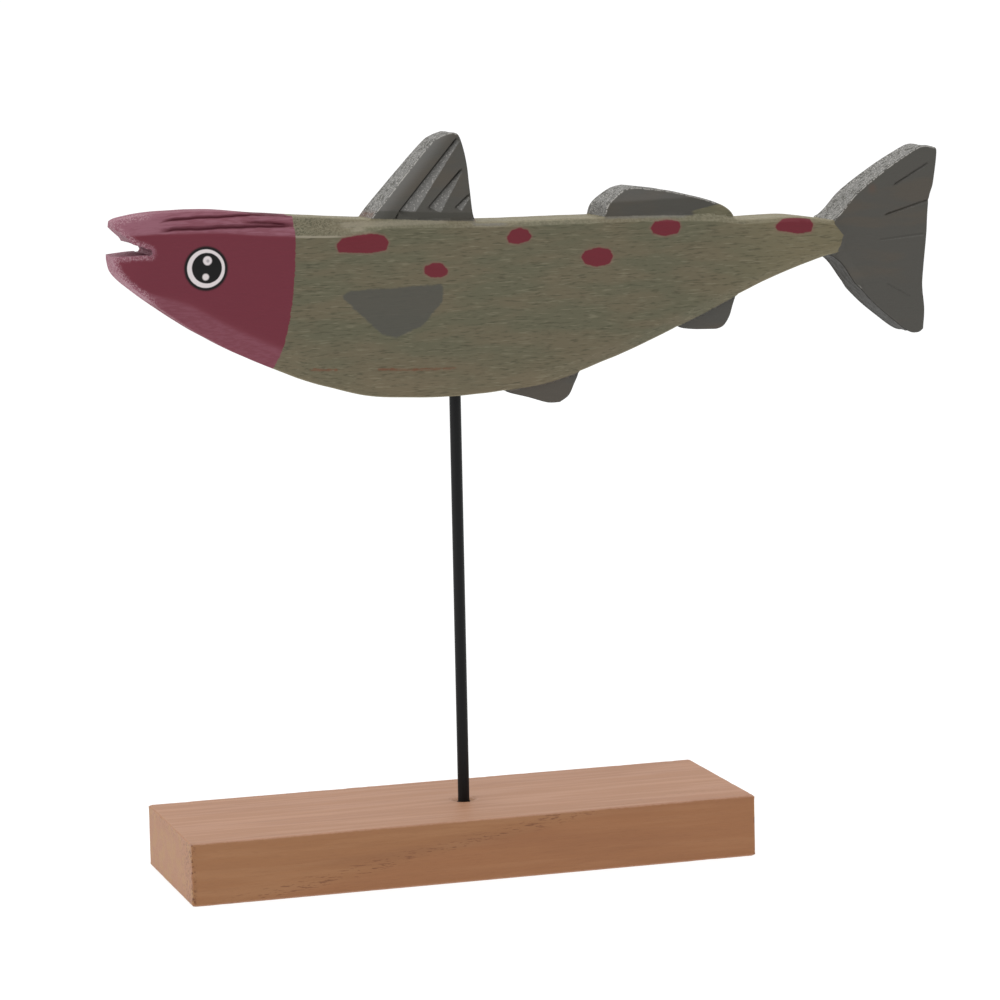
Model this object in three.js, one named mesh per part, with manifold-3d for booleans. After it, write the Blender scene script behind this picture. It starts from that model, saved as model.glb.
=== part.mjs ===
// A carved wooden fish on a steel rod and a wooden base block.
// Units are millimetres, +Z is up. The origin is the middle of the base's underside,
// +X points from the head to the tail, and -Y is the side with the finer finish.
import * as THREE from 'three';
import { mergeVertices } from 'three/addons/utils/BufferGeometryUtils.js';
import { ConvexGeometry } from 'three/addons/geometries/ConvexGeometry.js';
import Module from 'manifold-3d';

const wasm = await Module();
wasm.setup();

// Base block
const baseLength = 200;
const baseDepth = 66;
const baseHeight = 21.5;
const baseArris = 0.7;

// Rod, and the blind holes that it stands in
const rodRadius = 2;
const rodX = 4.6;
const rodTop = 181;
const rodFoot = 7;
const rodArris = 0.4;
const holeClearance = 0.32;
const rimRadius = 5.2;
const rimDepth = 0.8;

// Body of the fish: lengthwise profiles, each point being [x, value]
const noseX = -114;
const tongueX = 147;
const backLine = [
  [noseX, 225.6], [-113, 226.8], [-110.5, 227.7], [-98, 229.3], [-84, 229.5], [-62, 227.5],
  [-25, 224.5], [20, 222.2], [60, 222], [95, 220.8], [109, 219.2], [123, 219.5], [tongueX, 216.6],
];
const bellyLine = [
  [noseX, 213.6], [-113.2, 210.4], [-110.5, 206.8], [-107.5, 204.2], [-86, 188.6], [-64, 176.9],
  [-43, 168.6], [-22, 163.8], [0, 162.9], [30, 165.1], [60, 173.7], [90, 186.1], [115, 197.3],
  [135, 204.3], [tongueX, 207.5],
];
const halfThickness = [
  [noseX, 6.2], [-113, 7.6], [-110.5, 9.4], [-104, 11], [60, 11], [110, 10.5], [tongueX, 10.1],
];
const shoulderHeight = [
  [noseX, 4], [-110.5, 6], [-98, 7.3], [-84, 7.8], [-55, 7.4], [-30, 6], [-21, 3.2], [10, 2.2],
  [tongueX, 1.8],
];
const shoulderDepth = [
  [noseX, 2.6], [-110.5, 4], [-98, 5], [-50, 5], [-30, 4.4], [-21, 3], [10, 2.2], [tongueX, 1.2],
];
const keelHeight = [
  [noseX, 0.6], [-107.5, 1.6], [-86, 9.5], [-60, 9.5], [-22, 7], [30, 5.5], [90, 4.5], [tongueX, 2],
];
const keelDepth = [
  [noseX, 0.4], [-107.5, 0.8], [-86, 4], [-60, 4.4], [-22, 3.6], [60, 3], [tongueX, 1.4],
];
const stationSpacing = 4.5;
const noseStations = [noseX, -113.6, -113, -112, -110.5, -107.5, -104];
const cutWidth = 20;
const curveSegments = 6;
const roundSegments = 32;

// Mouth: a wedge sawn right through the head, ending in a small drilled hole
const mouthOutline = [
  [-122, 232], [-113.2, 232], [-113.2, 224.5], [-108.5, 220.6], [-104.6, 218.4], [-102.7, 216.9],
  [-103.2, 215.9], [-122, 215.1],
];
const mouthDrill = { x: -102.6, z: 216.6, radius: 0.9 };

// Two knife lines along each shoulder of the head
const knifeLines = {
  stations: [-98, -92, -86, -80, -74, -68, -62, -56, -50],
  share: [0.3, 0.74],
  width: 0.75,
  depth: 0.6,
  proud: 0.5,
};

// Outline of the stem's end: it stands proud of the tail fin as a blunt tongue
const tongueOutline = [
  [140.6, 225], [140.6, 216.2], [145.2, 211.8], [142.9, 206.4], [146.2, 203.8], [146.2, 196],
];

// Fins: outlines start inside the body, corner points are joined by smooth curves.
// The half thickness runs evenly from `root` to `tip` between the two given points.
const firstDorsal = {
  runs: [
    [[-28.6, 220], [-25.2, 225.6], [-14.7, 237.6], [-4.4, 248.8], [-0.6, 251.4], [3, 252.6]],
    [[3, 252.6], [6, 252], [7.6, 248.6], [9, 241.6], [9.6, 233], [10.2, 219.5]],
  ],
  root: { at: [-5, 226], half: 7.9 },
  tip: { at: [2, 252], half: 5.3 },
};
const secondDorsal = {
  runs: [
    [[55.4, 217], [56.3, 222.6], [57.6, 226], [60.8, 228.9], [64.3, 231.1], [68, 231.9]],
    [[68, 231.9], [76, 230.9], [86, 228.9], [97.8, 225.5], [103.2, 222.2], [105.4, 217.6]],
  ],
  root: { at: [60, 223], half: 9.6 },
  tip: { at: [62, 232.5], half: 7 },
};
const pelvic = {
  runs: [
    [[47.6, 172], [47.3, 168.6], [45.9, 165], [44.1, 160.9], [40.8, 158.6]],
    [[40.8, 158.6], [36, 158.8], [29, 161], [20.4, 163.8], [20.4, 168]],
  ],
  root: { at: [35, 166], half: 6.6 },
  tip: { at: [36, 158], half: 5.2 },
};
const anal = {
  runs: [
    [[107, 197], [105.4, 193], [104.2, 189.6], [103, 185.4], [101, 182.2], [98.4, 181.1]],
    [[98.4, 181.1], [90.2, 181.4], [83.6, 182.8], [82.6, 187]],
  ],
  root: { at: [95, 190], half: 6.6 },
  tip: { at: [96, 181], half: 5.4 },
};
const tail = {
  runs: [
    [[132, 213], [141.8, 218.8], [150, 227], [161.4, 235], [170.5, 240.3], [175.6, 242.3], [180.4, 241.4]],
    [
      [180.4, 241.4], [181.1, 239.4], [179.6, 229], [177.8, 222.6], [176.7, 208], [175.3, 194],
      [176, 185], [175.5, 177.7],
    ],
    [[175.5, 177.7], [173.2, 176.4], [168.6, 177.6], [158, 185.8], [150, 194], [143.6, 202.6], [136, 207]],
  ],
  root: { at: [141, 212], half: 9 },
  tip: { at: [181, 212], half: 6.2 },
};

// V cuts across the fins: [x, z] of the deep line's foot and head, and the width of the
// sloping side at each end
const cutProud = 0.6;
const finCuts = {
  depth: 1.3,
  steepSide: 0.5,
  lines: [
    { from: [-15.6, 226.6], to: [5, 250.2], width: [4.2, 1.6] },
    { from: [-5.2, 227.2], to: [6.6, 239.4], width: [3.8, 1] },
    { from: [4.4, 227.2], to: [8.8, 231.4], width: [2.6, 1] },
  ],
};
const tailCuts = {
  depth: 0.7,
  steepSide: 0.35,
  lines: [
    { from: [163.5, 228.4], to: [179.6, 236.9], width: [0.6, 1.8] },
    { from: [161, 219.2], to: [178, 223.6], width: [0.6, 1.8] },
    { from: [157, 210.2], to: [176.5, 211.6], width: [0.5, 1.4] },
    { from: [160, 194.6], to: [175.4, 187.8], width: [0.5, 1.3] },
  ],
};

// Reads a profile at x: a smooth curve through its points that never swings past them.
function readProfile(points, x) {
  const last = points.length - 1;
  const rise = (i) => (points[i + 1][1] - points[i][1]) / (points[i + 1][0] - points[i][0]);
  const slope = (i) => {
    if (i === 0 || i === last) {
      return rise(Math.min(i, last - 1));
    }
    const before = rise(i - 1);
    const after = rise(i);
    return before * after > 0 ? 2 * before * after / (before + after) : 0;
  };
  const end = Math.max(1, points.findIndex((p) => p[0] >= x));
  const start = end - 1;
  const [x0, v0] = points[start];
  const [x1, v1] = points[end];
  const step = x1 - x0;
  const t = THREE.MathUtils.clamp((x - x0) / step, 0, 1);
  const lower = v0 * (1 + 2 * t) * (1 - t) ** 2 + slope(start) * step * t * (1 - t) ** 2;
  const upper = v1 * t * t * (3 - 2 * t) - slope(end) * step * t * t * (1 - t);
  return lower + upper;
}

// A closed geometry from a list of rings, each a list of points in the same order.
function loft(rings) {
  const count = rings[0].length;
  const vertices = rings.flat();
  const firstCentre = centreOf(rings[0]);
  const lastCentre = centreOf(rings[rings.length - 1]);
  vertices.push(firstCentre, lastCentre);
  const faces = [];
  for (let r = 0; r < rings.length - 1; r += 1) {
    for (let k = 0; k < count; k += 1) {
      const a = r * count + k;
      const b = r * count + (k + 1) % count;
      faces.push([a, b, b + count], [a, b + count, a + count]);
    }
  }
  const tailRing = (rings.length - 1) * count;
  for (let k = 0; k < count; k += 1) {
    const next = (k + 1) % count;
    faces.push([vertices.length - 2, next, k], [vertices.length - 1, tailRing + k, tailRing + next]);
  }
  const geometry = new THREE.BufferGeometry();
  geometry.setAttribute('position', new THREE.Float32BufferAttribute(vertices.flat(), 3));
  geometry.setIndex(faces.flat());
  return geometry;
}

function centreOf(ring) {
  const sum = ring.reduce((s, p) => [s[0] + p[0], s[1] + p[1], s[2] + p[2]], [0, 0, 0]);
  return sum.map((v) => v / ring.length);
}

function toSolid(geometry) {
  const bare = geometry.clone();
  bare.deleteAttribute('normal');
  bare.deleteAttribute('uv');
  const merged = mergeVertices(bare, 1e-4);
  return new wasm.Manifold(new wasm.Mesh({
    numProp: 3,
    vertProperties: new Float32Array(merged.attributes.position.array),
    triVerts: new Uint32Array(merged.index.array),
  }));
}

function toGeometry(solid) {
  const mesh = solid.getMesh();
  const geometry = new THREE.BufferGeometry();
  geometry.setAttribute('position', new THREE.BufferAttribute(new Float32Array(mesh.vertProperties), 3));
  geometry.setIndex(new THREE.BufferAttribute(new Uint32Array(mesh.triVerts), 1));
  return geometry;
}

// Extrudes a side-view shape, drawn in x and z, across the thickness: y from -half to half.
function extrudeAcross(shape, half) {
  const depth = 2 * half;
  const geometry = new THREE.ExtrudeGeometry(shape, { depth, bevelEnabled: false, curveSegments });
  geometry.translate(0, 0, -half);
  geometry.rotateX(Math.PI / 2);
  return geometry;
}

function polygon(points) {
  return new THREE.Shape(points.map(([x, z]) => new THREE.Vector2(x, z)));
}

// A vertical cylinder from one height to another, with small chamfers if asked.
function post(radius, bottom, top, arris) {
  const profile = [
    [0, bottom], [radius - arris, bottom], [radius, bottom + arris],
    [radius, top - arris], [radius - arris, top], [0, top],
  ];
  const points = profile.map(([r, h]) => new THREE.Vector2(r, h));
  const geometry = new THREE.LatheGeometry(points, roundSegments);
  geometry.rotateX(Math.PI / 2);
  geometry.translate(rodX, 0, 0);
  return geometry;
}

function blindHole(radius, bottom, top) {
  const geometry = new THREE.CylinderGeometry(radius, radius, top - bottom, roundSegments);
  geometry.rotateX(Math.PI / 2);
  geometry.translate(rodX, 0, (top + bottom) / 2);
  return toSolid(geometry);
}

// The base is a block with its arrises just broken, a blind hole and a shallow rim.
function makeBase() {
  const halfX = baseLength / 2 - baseArris;
  const halfY = baseDepth / 2 - baseArris;
  const footprint = polygon([[-halfX, -halfY], [halfX, -halfY], [halfX, halfY], [-halfX, halfY]]);
  const block = new THREE.ExtrudeGeometry(footprint, {
    depth: baseHeight - 2 * baseArris,
    bevelThickness: baseArris,
    bevelSize: baseArris,
    bevelSegments: 1,
  });
  block.translate(0, 0, baseArris);
  const flare = 2 * rimRadius - rodRadius;
  const rim = new THREE.CylinderGeometry(flare, rodRadius, 2 * rimDepth, roundSegments);
  rim.rotateX(Math.PI / 2);
  rim.translate(rodX, 0, baseHeight);
  const hole = blindHole(rodRadius + holeClearance, rodFoot - holeClearance, baseHeight + 1);
  return toGeometry(toSolid(block).subtract(hole).subtract(toSolid(rim)));
}

// One ring of the body: flat sides, with a sloping shoulder above and a keel slope below.
function bodyRing(x) {
  const top = readProfile(backLine, x);
  const bottom = readProfile(bellyLine, x);
  const half = readProfile(halfThickness, x);
  const ridge = half - readProfile(shoulderDepth, x);
  const keel = half - readProfile(keelDepth, x);
  const shoulder = top - readProfile(shoulderHeight, x);
  const chine = bottom + readProfile(keelHeight, x);
  return [
    [x, -ridge, top], [x, -half, shoulder], [x, -half, chine], [x, -keel, bottom],
    [x, keel, bottom], [x, half, chine], [x, half, shoulder], [x, ridge, top],
  ];
}

function makeBody() {
  const stations = [...noseStations];
  const from = stations[stations.length - 1];
  const count = Math.ceil((tongueX - from) / stationSpacing);
  for (let i = 1; i <= count; i += 1) {
    stations.push(from + (tongueX - from) * i / count);
  }
  return toSolid(loft(stations.map(bodyRing)));
}

// A fin's outline drawn in x and z: its runs are smooth curves that meet at corners.
function finOutline(runs) {
  const shape = new THREE.Shape();
  shape.moveTo(...runs[0][0]);
  for (const run of runs) {
    shape.splineThru(run.slice(1).map(([x, z]) => new THREE.Vector2(x, z)));
  }
  shape.closePath();
  return shape;
}

// Half the fin's thickness at a point of its outline.
function finHalf(fin, x, z) {
  const root = new THREE.Vector2(...fin.root.at);
  const along = new THREE.Vector2(...fin.tip.at).sub(root);
  const t = new THREE.Vector2(x, z).sub(root).dot(along) / along.lengthSq();
  return THREE.MathUtils.lerp(fin.root.half, fin.tip.half, THREE.MathUtils.clamp(t, 0, 1));
}

function makeFin(fin) {
  const geometry = extrudeAcross(finOutline(fin.runs), 1);
  const position = geometry.attributes.position;
  for (let i = 0; i < position.count; i += 1) {
    const half = finHalf(fin, position.getX(i), position.getZ(i));
    position.setY(i, position.getY(i) * half);
  }
  return toSolid(geometry);
}

// A long wedge that cuts a V: deepest under its line, steep on one side, sloping on the other.
function vCut(line, depth, steepSide, surfaceY, side) {
  const from = new THREE.Vector2(...line.from);
  const to = new THREE.Vector2(...line.to);
  const run = to.clone().sub(from).normalize();
  const across = new THREE.Vector2(run.y, -run.x);
  const corners = [];
  for (const [at, width] of [[from, line.width[0]], [to, line.width[1]]]) {
    const y = surfaceY(at.x, at.y);
    const grow = 1 + cutProud / depth;
    const profile = [[-steepSide * grow, -cutProud], [0, depth], [width * grow, -cutProud]];
    for (const [offset, inward] of profile) {
      const p = at.clone().addScaledVector(across, offset);
      corners.push(new THREE.Vector3(p.x, side * (y - inward), p.y));
    }
  }
  return toSolid(new ConvexGeometry(corners));
}

function cutBothFaces(solid, cuts, surfaceY) {
  let result = solid;
  for (const line of cuts.lines) {
    for (const side of [-1, 1]) {
      result = result.subtract(vCut(line, cuts.depth, cuts.steepSide, surfaceY, side));
    }
  }
  return result;
}

// A shallow line scored along the head's shoulder, at a share of the slope's height.
function knifeLine(share, side) {
  const { width, depth: bite, proud } = knifeLines;
  const profile = [[-width, proud], [0, -bite], [width, proud]];
  const rings = knifeLines.stations.map((x) => {
    const depth = readProfile(shoulderDepth, x);
    const height = readProfile(shoulderHeight, x);
    const y = readProfile(halfThickness, x) - depth * (1 - share);
    const z = readProfile(backLine, x) - height * share;
    const slope = new THREE.Vector2(depth, -height).normalize();
    const out = new THREE.Vector2(-slope.y, slope.x);
    const ring = profile.map(([along, up]) => {
      const p = new THREE.Vector2(y, z).addScaledVector(slope, along).addScaledVector(out, up);
      return [x, side * p.x, p.y];
    });
    return side > 0 ? ring : ring.reverse();
  });
  return toSolid(loft(rings));
}

function makeFish() {
  let fish = makeBody();
  const beyondTongue = [[160, 225], ...tongueOutline, [160, 196]].reverse();
  fish = fish.subtract(toSolid(extrudeAcross(polygon(beyondTongue), cutWidth)));
  for (const share of knifeLines.share) {
    for (const side of [-1, 1]) {
      fish = fish.subtract(knifeLine(share, side));
    }
  }
  const dorsalFace = (x, z) => finHalf(firstDorsal, x, z);
  const tailFace = (x, z) => finHalf(tail, x, z);
  fish = fish.add(cutBothFaces(makeFin(firstDorsal), finCuts, dorsalFace));
  fish = fish.add(cutBothFaces(makeFin(tail), tailCuts, tailFace));
  for (const fin of [secondDorsal, pelvic, anal]) {
    fish = fish.add(makeFin(fin));
  }
  const { radius } = mouthDrill;
  const drill = new THREE.CylinderGeometry(radius, radius, 2 * cutWidth, roundSegments / 2);
  drill.translate(mouthDrill.x, 0, mouthDrill.z);
  const mouth = polygon([...mouthOutline].reverse());
  fish = fish.subtract(toSolid(extrudeAcross(mouth, cutWidth))).subtract(toSolid(drill));
  const belly = readProfile(bellyLine, rodX);
  return toGeometry(fish.subtract(blindHole(rodRadius + holeClearance, belly - 5, rodTop + holeClearance)));
}

function named(name, geometry, color, roughness, metalness) {
  const mesh = new THREE.Mesh(geometry, new THREE.MeshStandardMaterial({ color, roughness, metalness }));
  mesh.name = name;
  return mesh;
}

const sculpture = new THREE.Group();
sculpture.name = 'wooden_fish_sculpture';
sculpture.add(named('base', makeBase(), 0xa87450, 0.7, 0));
sculpture.add(named('rod', post(rodRadius, rodFoot, rodTop, rodArris), 0x1b1b1c, 0.45, 0.2));
sculpture.add(named('fish', makeFish(), 0x6c6750, 0.8, 0));

export default sculpture;
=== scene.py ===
"""A carved and painted wooden fish on a steel rod and a wooden block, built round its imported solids.

Shapes are given in millimetres, as on a drawing, and the scene is in metres.
+X runs from head to tail, +Z is up, and -Y is the side that the camera sees.
"""

import math

import bpy
import numpy as np
from bpy.props import FloatProperty, FloatVectorProperty, PointerProperty
from mathutils import Matrix, Vector, geometry, noise


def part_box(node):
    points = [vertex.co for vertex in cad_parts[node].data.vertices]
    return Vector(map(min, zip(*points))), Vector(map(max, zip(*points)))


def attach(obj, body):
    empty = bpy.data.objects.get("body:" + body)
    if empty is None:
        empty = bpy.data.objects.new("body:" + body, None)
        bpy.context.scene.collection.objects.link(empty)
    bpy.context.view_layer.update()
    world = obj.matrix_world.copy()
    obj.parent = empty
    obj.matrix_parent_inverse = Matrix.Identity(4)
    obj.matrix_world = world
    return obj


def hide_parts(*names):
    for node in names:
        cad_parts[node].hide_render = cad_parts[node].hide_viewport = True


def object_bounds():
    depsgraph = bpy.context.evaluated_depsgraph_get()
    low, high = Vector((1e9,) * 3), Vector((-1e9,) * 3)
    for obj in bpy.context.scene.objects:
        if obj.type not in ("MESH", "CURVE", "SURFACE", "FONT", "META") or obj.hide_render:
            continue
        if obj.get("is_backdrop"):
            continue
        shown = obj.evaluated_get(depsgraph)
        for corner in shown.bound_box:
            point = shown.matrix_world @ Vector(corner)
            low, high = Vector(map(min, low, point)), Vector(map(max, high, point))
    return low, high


bl_info = {
    "name": "Carved Fish on a Stand",
    "version": (1, 0, 0),
    "blender": (4, 5, 0),
    "location": "View3D > Sidebar > Carved Fish",
    "description": "Builds a carved, painted wooden fish on a rod and block, with its stage",
    "category": "Add Mesh",
}

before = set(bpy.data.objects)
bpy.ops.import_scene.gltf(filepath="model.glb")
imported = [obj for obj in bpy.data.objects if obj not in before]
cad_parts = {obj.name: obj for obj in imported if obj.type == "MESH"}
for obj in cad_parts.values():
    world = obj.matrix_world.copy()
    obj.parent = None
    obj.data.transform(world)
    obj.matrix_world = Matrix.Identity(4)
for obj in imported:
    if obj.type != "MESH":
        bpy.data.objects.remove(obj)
cad_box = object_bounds()
block_low, block_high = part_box("base")
rod_low, rod_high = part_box("rod")

MM = 0.001

# Body of the fish: lengthwise profiles, each point being (x, value).
NOSE_X = -114.0
STEM_X = 147.0
ROD_X = 4.6
BACK = [
    (NOSE_X, 225.6), (-113, 226.8), (-110.5, 227.7), (-98, 229.3), (-84, 229.5), (-62, 227.5),
    (-25, 224.5), (20, 222.2), (60, 222), (95, 220.8), (109, 219.2), (123, 219.5), (STEM_X, 216.6),
]
BELLY = [
    (NOSE_X, 213.6), (-113.2, 210.4), (-110.5, 206.8), (-107.5, 204.2), (-86, 188.6), (-64, 176.9),
    (-43, 168.6), (-22, 163.8), (0, 162.9), (30, 165.1), (60, 173.7), (90, 186.1), (115, 197.3),
    (135, 204.3), (STEM_X, 207.5),
]
HALF_THICKNESS = [(NOSE_X, 6.2), (-113, 7.6), (-110.5, 9.4), (-104, 11), (60, 11), (110, 10.5), (STEM_X, 10.1)]
SHOULDER_HEIGHT = [
    (NOSE_X, 4), (-110.5, 6), (-98, 7.3), (-84, 7.8), (-55, 7.4), (-30, 6), (-21, 3.2), (10, 2.2), (STEM_X, 1.8),
]
SHOULDER_DEPTH = [
    (NOSE_X, 2.6), (-110.5, 4), (-98, 5), (-50, 5), (-30, 4.4), (-21, 3), (10, 2.2), (STEM_X, 1.2),
]
KEEL_HEIGHT = [
    (NOSE_X, 0.6), (-107.5, 1.6), (-86, 9.5), (-60, 9.5), (-22, 7), (30, 5.5), (90, 4.5), (STEM_X, 2),
]
KEEL_DEPTH = [(NOSE_X, 0.4), (-107.5, 0.8), (-86, 4), (-60, 4.4), (-22, 3.6), (60, 3), (STEM_X, 1.4)]

# Mouth: a sawn wedge with a small drilled curl at its end.
MOUTH = [
    (-122, 232), (-113.2, 232), (-113.2, 224.5), (-108.5, 220.6), (-107.9, 219.4), (-104.6, 218.4),
    (-102.9, 217.5), (-102, 217.3), (-101.6, 216.5), (-102, 215.8), (-102.9, 215.7), (-103.4, 216), (-122, 215.1),
]

# End of the stem, standing proud of the tail fin.
TONGUE = [(140.6, 226), (140.6, 216.2), (143.9, 212.2), (142.2, 206.8), (143.4, 204.6), (146.6, 202.6), (147.4, 194)]

# Fins: smooth runs that meet at corners, and half the thickness at two points.
FIRST_DORSAL = {
    "runs": [
        [(-28.6, 220), (-25.2, 225.6), (-14.7, 237.6), (-4.4, 248.8), (-0.6, 251.4), (3, 252.6)],
        [(3, 252.6), (6, 252), (7.6, 248.6), (9, 241.6), (9.6, 233), (10.4, 224.5), (12.4, 219.5)],
    ],
    "root": ((-5, 226), 7.9),
    "tip": ((2, 252), 5.3),
}
SECOND_DORSAL = {
    "runs": [
        [(55.4, 217), (56.3, 222.6), (57.6, 226), (60.8, 228.9), (64.3, 231.1), (68, 231.9)],
        [(68, 231.9), (76, 230.9), (86, 228.9), (97.8, 225.5), (103.2, 222.2), (105.4, 217.6)],
    ],
    "root": ((60, 223), 9.6),
    "tip": ((62, 232.5), 7),
}
PELVIC = {
    "runs": [
        [(47.6, 172), (47.3, 168.6), (45.9, 165), (44.1, 160.9), (40.8, 158.6)],
        [(40.8, 158.6), (36, 158.8), (29, 161), (20.4, 163.8), (20.4, 168)],
    ],
    "root": ((35, 166), 6.6),
    "tip": ((36, 158), 5.2),
}
ANAL = {
    "runs": [
        [(107, 197), (105.4, 193), (104.2, 189.6), (103, 185.4), (101, 182.2), (98.4, 181.1)],
        [(98.4, 181.1), (90.2, 181.4), (83.6, 182.8), (82.6, 187)],
    ],
    "root": ((95, 190), 6.6),
    "tip": ((96, 181), 5.4),
}
TAIL = {
    "runs": [
        [(132, 213), (141.8, 218.8), (150, 227), (161.4, 235), (170.5, 240.3), (175.6, 242.3), (180.4, 241.4)],
        [
            (180.4, 241.4), (181.1, 239.4), (179.6, 229), (177.8, 222.6), (176.7, 208), (175.3, 194),
            (176, 185), (175.5, 177.7),
        ],
        [(175.5, 177.7), (173.2, 176.4), (168.6, 177.6), (158, 185.8), (150, 194), (143.6, 202.6), (136, 207)],
    ],
    "root": ((141, 212), 9.0),
    "tip": ((181, 212), 6.2),
}
FINS = (FIRST_DORSAL, SECOND_DORSAL, PELVIC, ANAL, TAIL)

# V cuts: the deep line's two ends, the width of the sloping side at each, depth, the steep side's width, and how
# strongly the sloping side is painted light (pale) and the deep line painted shade (dark).
FIN_CUTS = [
    {"line": ((-15.8, 226.4), (5.6, 250.2)), "width": (4.7, 1.3), "depth": 1.6, "steep": 0.55, "pale": 1, "dark": 0.85},
    {"line": ((-5.4, 227.4), (6.6, 239.6)), "width": (4.6, 0.7), "depth": 1.5, "steep": 0.6, "pale": 0.85, "dark": 0.5},
    {"line": ((4, 227), (9, 231.2)), "width": (2.6, 0.8), "depth": 1, "steep": 0.5, "pale": 0.8, "dark": 0.45},
    {"line": ((-16, 226.2), (-17.4, 223.9)), "width": (0.5, 0.3), "depth": 0.6, "steep": 0.3, "pale": 0, "dark": 0.8},
    {"line": ((164, 228.8), (177.4, 236)), "width": (0.5, 1.1), "depth": 0.5, "steep": 0.35, "pale": 0.1, "dark": 0.3},
    {"line": ((160.5, 218.5), (178.2, 223.3)), "width": (0.5, 1.3), "depth": 0.55, "steep": 0.35, "pale": 0.15, "dark": 0.35},
    {"line": ((157.9, 209.8), (175.6, 211.2)), "width": (0.5, 0.8), "depth": 0.4, "steep": 0.35, "pale": 0.15, "dark": 0.25},
    {"line": ((161, 194.6), (170.5, 189.4)), "width": (0.4, 0.6), "depth": 0.18, "steep": 0.3, "pale": 0, "dark": 0.1},
]

# Knife lines along the head's shoulder: where the V is deepest, its depth, and its width above and below.
KNIFE_LINES = [
    {
        "line": [(-99, 226), (-93.1, 226.9), (-84, 227.1), (-73, 227.1), (-66, 227.3), (-51, 226.2)],
        "depth": 0.75, "above": 0.9, "below": 0.4,
    },
    {
        "line": [(-99.5, 223), (-94.2, 223.6), (-83.2, 223.5), (-74.7, 223.6), (-66.7, 223.4), (-51, 223.1)],
        "depth": 0.95, "above": 1.3, "below": 0.45,
    },
    {"line": [(-71, 225), (-63.6, 224.8), (-59.2, 224.3), (-52.5, 223.3)], "depth": 0.6, "above": 0.9, "below": 0.6},
]

# Painted shapes on the sides.
SPOTS = [
    [(-38.9, 216.6), (-36.7, 218.8), (-26.7, 219.9), (-22.2, 219), (-20.6, 216.8), (-21.6, 214), (-26.8, 213.3), (-38.2, 214)],
    [(-0.2, 206.6), (-2.2, 208.9), (-5.3, 209.1), (-8.4, 208), (-8.5, 205.8), (-6.2, 204.2), (-2.8, 204), (-0.3, 205)],
    [(29.9, 216.6), (28.4, 218.8), (25.6, 219.7), (22.6, 218.9), (20.9, 216.6), (21.6, 214.6), (24.6, 214.2), (28.6, 215)],
    [(58.9, 208.6), (57.6, 211), (53.8, 211.9), (48.6, 210.8), (47.2, 208.8), (49, 206.2), (53, 205.2), (57.6, 206.1)],
    [(83.6, 217.4), (83, 219.6), (79, 220.3), (74.2, 219.8), (72.4, 217.8), (73.6, 215.6), (78, 214.7), (82.4, 215.4)],
    [(132.6, 216.4), (131.6, 218.6), (127.5, 219.4), (121.6, 218.9), (118.2, 216.6), (119.4, 214.8), (127, 213.4), (132, 214)],
]
SIDE_FIN = [
    (-37.6, 199.2), (-34.8, 200.8), (-2.4, 201.8), (-1.8, 200), (-2.5, 195.7), (-9.3, 188.2), (-18.9, 184.3),
    (-23.9, 185.9), (-30.4, 192),
]
STREAKS = [[(-25.2, 174), (-12, 173.2), (1.9, 173)], [(-48.8, 174.9), (-39.5, 174.4)]]
HEAD_EDGE = {"x": -52.5, "z": 228.0, "lean": 0.0265, "curve": 4.68e-5}
EYE = (-83.7, 210.6)
CURL = (-102.7, 216.9)
TAIL_HOLE = (148.5, 194.1)
TAIL_SMUDGE = (155.8, 228)

# The grey paint stops above this line at the second dorsal fin's tail end.
DORSAL_END = ((87.7, 222.6), (100.2, 224.9))

# Strokes on the sides: line, half width and strength.
PALE_STROKES = [
    (((-36, 222.8), (0, 223)), 0.9, 0.4),
    (((-33, 221), (-28.5, 221.3)), 0.6, 0.5),
    (((111.5, 220), (124, 219.8)), 0.5, 0.45),
]
GREY_STROKES = [
    (((9.5, 221.6), (21, 221.2)), 0.6, 0.5),
    (((56.5, 222.3), (86, 221.6)), 0.9, 0.5),
]


def linear(*levels):
    """A colour as Blender wants it, from levels of 0 to 255 on a screen."""
    shares = [level / 255 for level in levels]
    return tuple(s / 12.92 if s <= 0.04045 else ((s + 0.055) / 1.055) ** 2.4 for s in shares)


def colour(label, text, *levels):
    return FloatVectorProperty(
        name=label, description=text, subtype="COLOR", size=3, min=0, max=1, default=linear(*levels)
    )


def length(label, text, metres):
    return FloatProperty(name=label, description=text, default=metres, min=0, precision=5, unit="LENGTH")


def share(label, text, value):
    return FloatProperty(name=label, description=text, default=value, min=0, max=1, subtype="FACTOR")


def angle(label, text, degrees):
    return FloatProperty(name=label, description=text, default=math.radians(degrees), unit="ROTATION")


class CarvingSettings(bpy.types.PropertyGroup):
    """How finely the wood is modelled and how roughly it was worked."""

    grid: length("Grid", "Spacing of the points on the carved sides", 0.8 * MM)
    arris: length("Arris", "Radius of the broken edges of the fish", 0.4 * MM)
    waviness: length("Waviness", "How far the knife wandered on the flat sides", 0.11 * MM)
    saw_marks: length("Saw marks", "How rough the sawn edges are", 0.3 * MM)
    block_grid: length("Block grid", "Spacing of the points on the block", 1.2 * MM)
    block_arris: length("Block arris", "Radius of the block's broken edges", 0.5 * MM)
    rim_radius: length("Rim radius", "Radius of the drilled rim round the rod", 5.2 * MM)
    rim_depth: length("Rim depth", "Depth of the drilled rim round the rod", 0.8 * MM)
    hole_play: length("Hole play", "Space between the rod and its holes", 0.32 * MM)


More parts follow.
